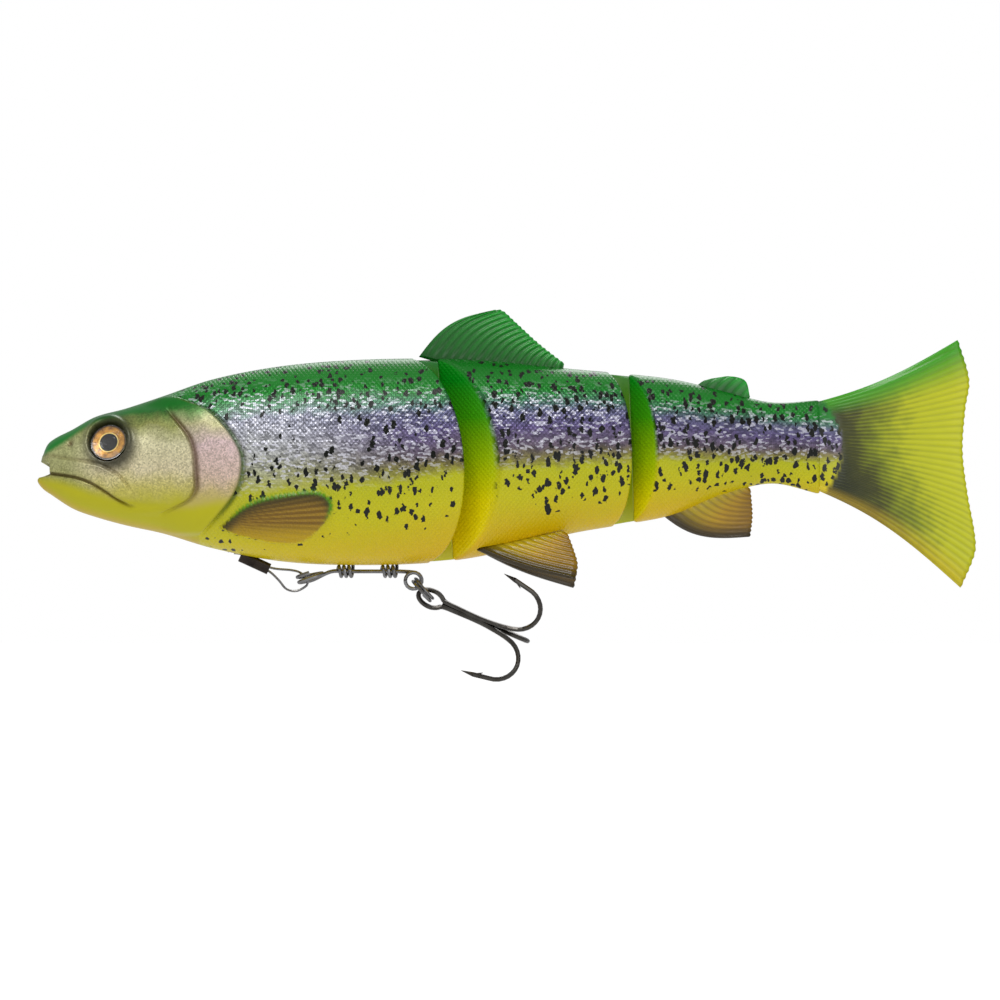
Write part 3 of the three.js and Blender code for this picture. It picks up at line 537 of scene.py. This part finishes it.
BAND_LOW, BAND_SPAN = -1.6, 3.6  # the paint band's value at the ramp's start, and the ramp's length
FLANK_COLORS = (
    (-1.6, (246, 184, 0)), (-0.95, (236, 198, 0)), (-0.4, (214, 206, 0)), (-0.04, (196, 198, 0)),
    (0.12, (140, 132, 70)), (0.28, (112, 98, 112)), (0.55, (104, 92, 138)), (0.78, (98, 100, 132)),
    (0.95, (70, 128, 92)), (1.08, (6, 134, 28)), (1.45, (0, 116, 16)), (2.0, (0, 92, 10)))
SILVER_COLORS = (
    (-1.6, (246, 184, 0)), (-0.95, (240, 206, 0)), (-0.4, (222, 212, 0)), (-0.04, (196, 198, 30)),
    (0.16, (196, 198, 150)), (0.4, (206, 208, 206)), (0.78, (168, 170, 186)), (0.95, (90, 156, 104)),
    (1.08, (6, 138, 30)), (1.45, (0, 120, 18)), (2.0, (0, 96, 12)))


def band_stop(value):
    return (value - BAND_LOW) / BAND_SPAN


def spot_layer(s, size, radius, density):
    """Slanted dark dots, one in some of the cells of a size, as a mask."""
    stretch = s.tree.nodes.new("ShaderNodeMapping")
    s.put(stretch.inputs["Vector"], s.wobble(0.9, 1.3))
    stretch.inputs["Rotation"].default_value = (0, math.radians(28), 0)
    stretch.inputs["Scale"].default_value = (1.3, 1, 0.72)
    distance, cell = s.voronoi(size, stretch.outputs[0])
    shown = s.math("LESS_THAN", cell_value(s, cell), density)
    return s.math("MULTIPLY", s.step(distance, radius, radius - 0.07), shown)


def flank_paint(s):
    """The flank's bands, painted sparkle and spots: their colour and how metallic it is."""
    cloud = s.math("SUBTRACT", s.noise(3, 4)[0], 0.5)
    band = s.math("ADD", s.attribute("band"), s.math("MULTIPLY", cloud, 0.24))
    place = s.math("DIVIDE", s.math("SUBTRACT", band, BAND_LOW), BAND_SPAN)
    ramps = [s.ramp(place, [(band_stop(value), srgb(*shade)) for value, shade in stops])
             for stops in (SILVER_COLORS, FLANK_COLORS)]
    color = s.mix(s.attribute("violet"), *ramps)
    silver_low = s.step(s.attribute("band"), -0.1, 0.25)
    silver = s.math("MULTIPLY", silver_low, s.step(s.attribute("band"), 1.25, 0.9))
    # Painted glints: flake cells in the silver band are painted darker or near white, standing in for
    # flakes turned away from or towards the light.
    stretch = s.tree.nodes.new("ShaderNodeMapping")
    s.put(stretch.inputs["Vector"], s.place())
    stretch.inputs["Rotation"].default_value = (0, math.radians(-35), 0)
    stretch.inputs["Scale"].default_value = (0.7, 1, 1.5)
    glint = cell_value(s, s.voronoi(0.6, stretch.outputs[0])[1])
    dim = s.mix(0.5, color, srgb(20, 20, 30))
    color = s.mix(s.math("MULTIPLY", silver, s.step(glint, 0.5, 0.15)), color, dim)
    sparkle = s.math("SUBTRACT", 0.85, s.math("MULTIPLY", s.attribute("violet"), 0.3))
    bright = s.math("MULTIPLY", s.step(glint, 0.7, 0.85), sparkle)
    color = s.mix(s.math("MULTIPLY", silver, bright), color, srgb(228, 228, 240))
    return color, silver


def spotted(s, color):
    large = spot_layer(s, 2.1, 0.37, s.attribute("spots"))
    small = spot_layer(s, 1.5, 0.36, s.math("MULTIPLY", s.attribute("spots"), 0.4))
    return s.mix(s.math("MAXIMUM", large, small), color, srgb(12, 16, 8))


def head_paint(s, color):
    """Champagne cheek, pale gill plate, yellow chin, green cap, and painted shade in the head's grooves."""
    x, _, z = s.axes()
    height = s.math("DIVIDE", s.math("ADD", z, 15), 30)
    height = s.math("ADD", height, s.math("MULTIPLY", s.math("SUBTRACT", s.noise(4, 3)[0], 0.5), 0.12))
    cheek = s.ramp(height, (
        (0.05, srgb(214, 200, 10)), (0.26, srgb(200, 194, 40)), (0.36, srgb(206, 196, 110)),
        (0.5, srgb(226, 214, 176)), (0.68, srgb(222, 216, 176)), (0.8, srgb(146, 150, 84)),
        (0.92, srgb(40, 110, 34))))
    plate = s.ramp(height, (
        (0.16, srgb(206, 196, 20)), (0.32, srgb(206, 188, 120)), (0.45, srgb(222, 196, 180)),
        (0.68, srgb(226, 200, 200)), (0.82, srgb(190, 186, 140)), (0.94, srgb(60, 130, 50))))
    snout = s.step(x, 13, 3)
    cheek = s.mix(s.math("MULTIPLY", snout, 0.6), cheek, srgb(132, 146, 52))
    # Pearly speckle on the cheek: fine cells painted darker and brighter, partly the pearl paint's own
    # grain and partly painted sparkle of its flakes.
    speck = s.ramp(s.voronoi(0.32)[1], ((0.15, (0.66, 0.66, 0.6, 1)), (0.85, (1.35, 1.35, 1.35, 1))))
    color = s.mix(s.attribute("head"), color, cheek)
    color = s.mix(s.attribute("gill_plate"), color, plate)
    pearl = s.math("MULTIPLY", s.attribute("head"), s.step(height, 0.24, 0.4))
    color = s.mix(s.math("MULTIPLY", pearl, 0.8), color, s.mix(1.0, color, speck, "MULTIPLY"))
    chin = s.ramp(s.attribute("chin_depth"), (
        (0.0, srgb(232, 160, 10)), (0.35, srgb(222, 184, 10)), (0.9, srgb(206, 200, 20))))
    color = s.mix(s.math("MULTIPLY", s.attribute("chin"), s.attribute("head")), color, chin)
    cap = s.math("MULTIPLY", s.attribute("cap"), s.attribute("head"))
    color = s.mix(cap, color, s.ramp(height, ((0.55, srgb(24, 142, 48)), (0.95, srgb(4, 120, 24)))))
    # Painted shade in the preopercle, jaw and nostril grooves.
    color = s.mix(s.math("MULTIPLY", s.attribute("line"), 0.8), color, srgb(88, 60, 22))
    # Painted shade along the gill edge's groove.
    color = s.mix(s.math("MULTIPLY", s.attribute("gill_edge_shade"), 0.8), color, srgb(70, 100, 4))
    return s.mix(s.math("MULTIPLY", s.attribute("eye_ring"), 0.9), color, srgb(26, 28, 14))


def pectoral_paint(s, color):
    ray = s.math("MULTIPLY", s.step(s.attribute("pectoral_ray"), -0.6, 0.7), 0.7)
    fin_color = s.mix(ray, srgb(132, 98, 20), srgb(178, 140, 40))
    _, _, z = s.axes()
    fin_color = s.mix(s.step(z, -11, -15), fin_color, srgb(206, 170, 14))
    fin_color = s.mix(s.math("MULTIPLY", s.attribute("pectoral_top"), 0.9), fin_color, srgb(44, 44, 10))
    color = s.mix(s.attribute("pectoral"), color, fin_color)
    rim = s.math("MULTIPLY", s.attribute("pectoral_rim"), s.step(z, -12, -8))
    return s.mix(rim, color, srgb(96, 168, 10))


def skin_material():
    s = Shader("painted_soft_skin")
    color, silver = flank_paint(s)
    color = head_paint(s, color)
    spots = spotted(s, color)
    color = s.mix(s.math("SUBTRACT", 1.0, s.attribute("pectoral"), clamp=True), color, spots)
    color = pectoral_paint(s, color)
    _, _, z = s.axes()
    # The hinge faces: partly the plastic's own colour, green above and yellow below, and partly painted
    # light, raised brighter to stand in for light through the translucent plastic where the cup shades it.
    neck = s.ramp(s.math("DIVIDE", s.math("ADD", z, 20), 43), (
        (0, srgb(255, 226, 0)), (0.3, srgb(240, 226, 0)), (0.52, srgb(168, 204, 0)),
        (0.72, srgb(70, 170, 10)), (0.9, srgb(0, 150, 20))))
    color = s.mix(s.attribute("neck"), color, neck)
    outside = s.math("SUBTRACT", 1.0, s.attribute("neck"), clamp=True)
    body = s.math("SUBTRACT", 1.0, s.attribute("head"), clamp=True)
    shine = s.math("MULTIPLY", s.math("MULTIPLY", silver, outside), body)
    pearl = s.math("MULTIPLY", s.attribute("head"), 0.3)
    s.set(Base_Color=color, Metallic=s.math("MAXIMUM", s.math("MULTIPLY", shine, 0.6), pearl))
    s.set(Roughness=s.math("ADD", 0.3, s.math("MULTIPLY", s.noise(0.9)[0], 0.16)))
    soft = s.bump(s.noise(5)[0], 0.12, 0.6)
    scales = s.math("MULTIPLY", scale_pattern(s, 0.95), body)
    s.set(Normal=s.bump(scales, 0.09, 0.8, soft), Coat_Weight=0.15, Coat_Roughness=0.12, IOR=1.4)
    return s.material


def cell_value(s, color):
    node = s.tree.nodes.new("ShaderNodeSeparateColor")
    s.put(node.inputs[0], color)
    return node.outputs[0]


def fin_material(name, root, middle, tip, dark, hollow_shade_amount=0.35, leading=None):
    """Rayed soft plastic: colour runs out from the root, with painted shade in the hollows between the
    rays.
    """
    s = Shader(name)
    cloud = s.math("SUBTRACT", s.noise(2.5, 3)[0], 0.5)
    out = s.math("ADD", s.attribute("out"), s.math("MULTIPLY", cloud, 0.25))
    color = s.ramp(out, ((0.05, root), (0.5, middle), (0.95, tip)))
    # Painted shade: the hollows between the rays are painted darker, towards the fin's shade colour.
    wave = s.math("SINE", s.math("MULTIPLY", s.attribute("ray"), 2 * math.pi))
    hollow = s.step(wave, 0.2, -0.9)
    color = s.mix(s.math("MULTIPLY", hollow, hollow_shade_amount), color, dark)
    if leading:
        color = s.mix(s.step(s.attribute("across"), 0.34, 0.02), color, leading)
    s.set(Base_Color=color, Roughness=0.32, Coat_Weight=0.35, Coat_Roughness=0.15, IOR=1.45)
    s.set(Normal=s.bump(s.noise(0.8)[0], 0.05, 0.5))
    return s.material


def tail_material():
    """Dark green and olive at the root, yellow further out, green above and orange below."""
    s = Shader("tail_soft_plastic")
    across = s.attribute("across")
    ray = s.math("SINE", s.math("MULTIPLY", s.attribute("ray"), 2 * math.pi))
    cloud = s.math("SUBTRACT", s.noise(3, 4)[0], 0.5)
    out = s.math("ADD", s.attribute("out"), s.math("MULTIPLY", cloud, 0.3))
    ends = s.math("MULTIPLY", s.step(across, 0.4, 0.95), 0.16)
    out = s.math("SUBTRACT", s.math("ADD", out, s.math("MULTIPLY", ray, 0.05)), ends)
    color = s.ramp(out, ((0.1, srgb(34, 40, 0)), (0.28, srgb(66, 68, 0)), (0.46, srgb(132, 144, 0)),
                         (0.68, srgb(200, 204, 0)), (1, srgb(212, 214, 0))))
    color = s.mix(s.step(across, 0.2, 0.02), color, srgb(64, 168, 6))
    color = s.mix(s.math("MULTIPLY", s.step(across, 0.88, 1.0), 0.5), color, srgb(222, 184, 0))
    # Painted shade in the hollows between the rays.
    color = s.mix(s.math("MULTIPLY", s.step(ray, 0.1, -0.9), 0.16), color, srgb(96, 104, 0))
    paint_color, silver = flank_paint(s)
    base = s.attribute("base")
    color = s.mix(base, color, spotted(s, paint_color))
    s.set(Base_Color=color, Metallic=s.math("MULTIPLY", s.math("MULTIPLY", silver, base), 0.6))
    s.set(Roughness=0.34, Coat_Weight=0.3, Coat_Roughness=0.15, IOR=1.45)
    s.set(Normal=s.bump(s.noise(0.8)[0], 0.05, 0.5))
    return s.material


def metal(name, color, roughness, tint=None):
    s = Shader(name)
    stain = s.ramp(s.noise(3.2, 3)[0], ((0.35, color), (0.8, tint or color)))
    s.set(Base_Color=stain, Metallic=1.0)
    s.set(Roughness=s.math("ADD", roughness, s.math("MULTIPLY", s.noise(0.6, 3)[0], 0.15)))
    s.set(Normal=s.bump(s.noise(0.5, 2)[0], 0.008, 0.4))
    return s.material


def web_material():
    s = Shader("hinge_web_soft_plastic")
    _, _, z = s.axes()
    height = s.math("DIVIDE", s.math("ADD", z, 20), 43)
    shade = s.math("ADD", height, s.math("MULTIPLY", s.math("SUBTRACT", s.noise(3)[0], 0.5), 0.1))
    color = s.ramp(shade, ((0, srgb(214, 208, 0)), (0.5, srgb(136, 166, 4)), (1, srgb(8, 124, 26))))
    s.set(Base_Color=color, Roughness=0.38, Coat_Weight=0.3, Coat_Roughness=0.2)
    s.set(Normal=s.bump(s.noise(1.2)[0], 0.06, 0.5))
    return s.material


def plain_plastic(name, color, roughness):
    s = Shader(name)
    shade = s.mix(s.noise(2, 3)[0], color, tuple(0.85 * c for c in color[:3]) + (1,))
    s.set(Base_Color=shade, Roughness=roughness, Normal=s.bump(s.noise(0.7)[0], 0.04, 0.5))
    return s.material


def iris_material():
    """Gold foil with a dark pupil, a thin pale ring round it, and darker mottling."""
    s = Shader("eye_foil")
    r = s.attribute("radius")
    mottle = s.ramp(s.noise(1.1, 4)[0], ((0.35, srgb(112, 70, 16)), (0.6, srgb(198, 142, 52))))
    color = s.mix(s.step(r, 0.8, 0.96), mottle, srgb(26, 18, 10))
    color = s.mix(s.step(r, 0.57, 0.53), color, srgb(232, 206, 118))
    color = s.mix(s.step(r, 0.52, 0.49), color, srgb(3, 3, 3))
    s.set(Base_Color=color, Roughness=0.28, Metallic=0.3, Coat_Weight=0.6, Coat_Roughness=0.05)
    s.set(Normal=s.bump(s.noise(0.5)[0], 0.03, 0.5))
    return s.material


def lens_material():
    s = Shader("eye_clear_resin")
    s.set(Base_Color=(1, 1, 1, 1), Roughness=0.03, Transmission_Weight=1.0, IOR=1.12)
    return s.material


# ---- Eyes ----

def eye_disc(name, side, radius, rows, around, height, low):
    """A round piece in the eye's own axes: rings from the centre out, height(share) above low."""
    shares = np.linspace(0.001, 1, rows)
    turn = np.linspace(0, 2 * math.pi, around, endpoint=False)
    rings = []
    for r in shares:
        level = np.full(around, low + height(r))
        rings.append(np.stack([radius * r * np.cos(turn), level, radius * r * np.sin(turn)], axis=1))
    rings.append(rings[-1] * [1, 0, 1] + [0, low, 0])
    rings.append(rings[-1] * [0.02, 1, 0.02])
    co = np.concatenate(rings)
    radii = np.hypot(co[:, 0], co[:, 2]) / radius
    y, z = turn_pair(co[:, 1], co[:, 2], EYE_TILT)
    x, y = turn_pair(co[:, 0], y, EYE_TURN)
    back, belly, half = profile(EYE[0])
    out = half * math.sqrt(1 - ((EYE[1] - (back + belly) / 2) / ((back - belly) / 2)) ** 2)
    points = np.stack([x + EYE[0], side * (y + out), z + EYE[1]], axis=1)
    return mesh_object(name, points, tube_faces(len(rings), around), {"radius": radii})


def make_eyes():
    iris, lens = iris_material(), lens_material()
    for side, name in ((-1, "left"), (1, "right")):
        disc = eye_disc(f"{name}_iris_detail", side, EYE_RADIUS, 24, 96, lambda r: 0.5 + 0.1 * r * r, -1.7)
        dome = eye_disc(f"{name}_lens_detail", side, EYE_RADIUS, 24, 96,
                        lambda r: 0.2 + 1.0 * math.sqrt(max(0, 1 - r * r)), -1.05)
        finish_piece(disc, iris, "front", f"{name}_eye_iris")
        finish_piece(dome, lens, "front", f"{name}_eye_lens")


# ---- Assembly ----

def paint(obj, material):
    obj.data.materials.clear()
    obj.data.materials.append(material)


def fix_normals(obj):
    mesh = bmesh.new()
    mesh.from_mesh(obj.data)
    bmesh.ops.recalc_face_normals(mesh, faces=mesh.faces)
    mesh.to_mesh(obj.data)
    mesh.free()


def finish_piece(obj, material, body, node):
    fix_normals(obj)
    paint(obj, material)
    if isinstance(body, str):
        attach(obj, body)
    else:
        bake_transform(obj)
    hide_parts(node)


def make_body():
    material = skin_material()
    front = segment("front_skin", -2.6, (FRONT_HINGE, "cup"), 330, 360)
    open_mouth(front)
    middle = segment("middle_skin", (FRONT_HINGE, "nose"), (REAR_HINGE, "cup"), 110, 260)
    rear = segment("rear_skin", (REAR_HINGE, "nose"), TAIL_ROOT, 120, 220)
    for obj, name in ((front, "front"), (middle, "middle"), (rear, "rear")):
        finish_piece(obj, material, name, f"{name}_segment")


def make_web(name, hinge, body_a, body_b, node):
    """A thin neck with hollow sides, from the V ahead to the V behind."""
    start = hinge["cup"][0] + hinge["cup"][1] * WEB_SIDE - 0.1
    end = hinge["nose"][0] + hinge["nose"][1] * WEB_SIDE + 0.1
    rings = []
    for share in np.linspace(0, 1, 15):
        offset = start + (end - start) * share
        back, belly, _ = profile(hinge["x"] + offset)
        side = WEB_SIDE * (1 - 0.28 * math.sin(math.pi * share))
        turn = np.linspace(0, 2 * math.pi, 96, endpoint=False)
        box_y = side * np.sign(np.cos(turn)) * np.abs(np.cos(turn)) ** 0.25
        z = (back + belly) / 2 + ((back - belly) / 2 - 0.4) * np.sin(turn)
        rings.append(np.stack([hinge["x"] + hinge["lean"] * z + offset, box_y, z], axis=1))
    web = mesh_object(name, np.concatenate(rings), tube_faces(15, 96))
    at = [(hinge["x"] + offset) * MM for offset in (start, end)]
    finish_piece(web, web_material(), (body_a, body_b, (at[0], 0, 0), (at[1], 0, 0)), node)


def make_fins():
    green = fin_material("dorsal_soft_plastic", srgb(0, 92, 12), srgb(2, 128, 22), srgb(24, 166, 44),
                         srgb(0, 74, 8))
    brown = fin_material("fin_soft_plastic", srgb(206, 186, 20), srgb(190, 150, 24), srgb(150, 112, 20),
                         srgb(100, 70, 12), leading=srgb(56, 44, 10))
    dorsal = fin("dorsal_detail", [(78.6, 23.9), (82, 23), (95, 21.6), (109.3, 20.6)],
                 [(94.2, 33.9), (96.3, 33.9), (99, 31.6), (104, 27), (109.6, 22.6)],
                 17, 0.95, 0.45, ridge=0.34, bow=((-1.2, 1.9), (0, 0.2)), notch=0.2)
    finish_piece(dorsal, green, "middle", "dorsal_fin")
    adipose = fin("adipose_detail", [(137.6, 17.4), (144, 15.8), (148.6, 14.2)],
                  [(141.5, 19.4), (145, 19.8), (148.2, 18.8), (149.2, 15.4)],
                  6, 0.75, 0.35, rows=14, ridge=0.1, bow=((-0.3, 0.4), (0, 0)))
    finish_piece(adipose, green, "rear", "adipose_fin")
    anal = fin("anal_detail", [(130, -9.4), (140, -6), (148.6, -3.6)],
               [(149.3, -14.5), (149.8, -10), (149.4, -4.4)],
               11, 0.75, 0.35, bow=((-1.4, -2.2), (0, 0)), notch=0.2)
    finish_piece(anal, brown, "rear", "anal_fin")
    for side, name in ((-1, "left"), (1, "right")):
        pelvic = fin(f"{name}_pelvic_detail", [(91, 0), (101, 0.8), (109.6, 1.4)],
                     [(111.8, -12), (112.4, -8), (111.4, -3), (110.4, 0.6)],
                     10, 0.65, 0.3, bow=((-0.4, -0.6), (0, 0)), notch=0.2)
        place_pelvic(pelvic, side, PELVIC_SPLAY[name])
        finish_piece(pelvic, brown, "middle", f"{name}_pelvic_fin")
    tail = fin("tail_detail", [(160.8, 13.6), (161.2, 8), (161.2, 1.6), (160.8, -3.4)],
               [(193.6, 27.6), (196, 19), (195.2, 13), (194.6, 4), (195.6, -5), (197.2, -14), (197.2, -18),
                (194.2, -25.4)],
               34, 1.1, 0.5, columns=380, rows=48, ridge=0.1, notch=0.2,
               bow=((0, -1.7), (0, 2.6)), stump=2.45)
    at = [(x * MM, 0, 0) for x in TAIL_BEND]
    finish_piece(tail, tail_material(), ("rear", "tail", *at), "tail_fin")


def place_pelvic(obj, side, splay):
    """Turns an upright pelvic fin out from the belly to its splay, in degrees."""
    co = np.array([v.co for v in obj.data.vertices]) / MM
    x = co[:, 0]
    y, z = turn_pair(co[:, 1], co[:, 2], math.radians(splay) * side)
    back, belly, half = profile(x)
    rise = (back + belly) / 2 - (back - belly) / 2 * np.sqrt(1 - (PELVIC_SIDE / half) ** 2)
    base = rise * 0.55 + 0.45 * rise[np.argmin(x)]
    placed = np.stack([x, y + PELVIC_SIDE * side, z + base], axis=1) * MM
    obj.data.vertices.foreach_set("co", placed.ravel())


def dress_cad_nodes():
    steel = metal("rig_steel", srgb(150, 150, 152), 0.2, srgb(96, 92, 88))
    nickel = metal("black_nickel", srgb(92, 90, 86), 0.16, srgb(58, 54, 50))
    crimp = metal("crimp_sleeve_metal", srgb(74, 66, 60), 0.3, srgb(40, 36, 34))
    lead = metal("ballast_lead", srgb(110, 112, 116), 0.5, srgb(78, 80, 84))
    cloth = plain_plastic("woven_ribbon", srgb(226, 224, 214), 0.9)
    tube = plain_plastic("line_tube_plastic", srgb(236, 236, 230), 0.35)
    rig = ("rig_wire", "front_belly_pin", "rear_belly_pin", "split_ring", "trace_loop", "leader_wire")
    ribbons = ("front_mesh_ribbon", "middle_mesh_ribbon", "rear_mesh_ribbon")
    groups = ((steel, rig), (nickel, ("treble_hook",)), (crimp, ("crimp_sleeve",)),
              (lead, ("front_ballast", "middle_ballast")), (cloth, ribbons), (tube, ("line_tube",)))
    for material, names in groups:
        for name in names:
            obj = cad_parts[name]
            paint(obj, material)
            obj.data.polygons.foreach_set("use_smooth", [True] * len(obj.data.polygons))


# ---- Stage ----

def studio_rays(tree):
    """1 where the camera looks straight at a surface or sees it through the clear resin."""
    path = tree.nodes.new("ShaderNodeLightPath")
    node = tree.nodes.new("ShaderNodeMath")
    node.operation = "MAXIMUM"
    tree.links.new(path.outputs["Is Camera Ray"], node.inputs[0])
    tree.links.new(path.outputs["Is Transmission Ray"], node.inputs[1])
    return node.outputs[0]


def scaled(tree, value, low, high):
    node = tree.nodes.new("ShaderNodeMapRange")
    node.inputs["To Min"].default_value = low
    node.inputs["To Max"].default_value = high
    tree.links.new(value, node.inputs["Value"])
    return node.outputs[0]


def floor_material():
    """A pale floor that takes shadows and is lifted towards white where the camera looks at it."""
    material = bpy.data.materials.new("floor_white")
    material.use_nodes = True
    tree = material.node_tree
    tree.nodes.clear()
    diffuse = tree.nodes.new("ShaderNodeBsdfDiffuse")
    diffuse.inputs["Color"].default_value = (0.85, 0.85, 0.85, 1)
    lift = tree.nodes.new("ShaderNodeEmission")
    tree.links.new(scaled(tree, studio_rays(tree), 0, FLOOR_LIFT), lift.inputs["Strength"])
    both = tree.nodes.new("ShaderNodeAddShader")
    tree.links.new(diffuse.outputs[0], both.inputs[0])
    tree.links.new(lift.outputs[0], both.inputs[1])
    output = tree.nodes.new("ShaderNodeOutputMaterial")
    tree.links.new(both.outputs[0], output.inputs["Surface"])
    return material


def make_stage():
    mesh = bpy.data.meshes.new("studio_floor")
    signs = ((-1, -1), (1, -1), (1, 1), (-1, 1))
    corners = [(FLOOR_SIZE * x, FLOOR_SIZE * y, FLOOR_HEIGHT) for x, y in signs]
    mesh.from_pydata(corners, [], [(0, 1, 2, 3)])
    floor = bpy.data.objects.new("studio_floor", mesh)
    bpy.context.scene.collection.objects.link(floor)
    paint(floor, floor_material())
    world = bpy.data.worlds.new("studio")
    bpy.context.scene.world = world
    world.use_nodes = True
    tree = world.node_tree
    background = tree.nodes["Background"]
    background.inputs["Color"].default_value = (1, 1, 1, 1)
    tree.links.new(scaled(tree, studio_rays(tree), ROOM_LIGHT, 1.0), background.inputs["Strength"])


def lamp(name, place, size, power):
    data = bpy.data.lights.new(name, "AREA")
    data.size = size
    data.energy = power
    obj = bpy.data.objects.new(name, data)
    bpy.context.scene.collection.objects.link(obj)
    obj.location = place
    direction = np.array(LAMP_TARGET) - np.array(place)
    obj.rotation_euler = Vector(direction).to_track_quat("-Z", "Y").to_euler()


def make_camera():
    data = bpy.data.cameras.new("camera")
    data.sensor_width = SENSOR_WIDTH
    data.lens = SENSOR_WIDTH * CAMERA_DISTANCE / VIEW_WIDTH
    data.clip_end = 20
    camera = bpy.data.objects.new("camera", data)
    bpy.context.scene.collection.objects.link(camera)
    camera.location = (CAMERA_TARGET[0], -CAMERA_DISTANCE, CAMERA_TARGET[1])
    camera.rotation_euler = (math.radians(90), 0, 0)
    bpy.context.scene.camera = camera


make_camera()
make_body()
make_web("front_web_detail", FRONT_HINGE, "front", "middle", "front_hinge_web")
make_web("rear_web_detail", REAR_HINGE, "middle", "rear", "rear_hinge_web")
make_fins()
make_eyes()
dress_cad_nodes()
make_stage()
lamp("key", (-0.1, -0.6, 0.8), 0.45, 3.6)
lamp("fill", (0.5, -0.9, 0.1), 0.6, 1.2)
lamp("rim", (0.2, 0.7, 0.6), 0.5, 2.5)
bpy.context.scene.view_settings.view_transform = "Standard"
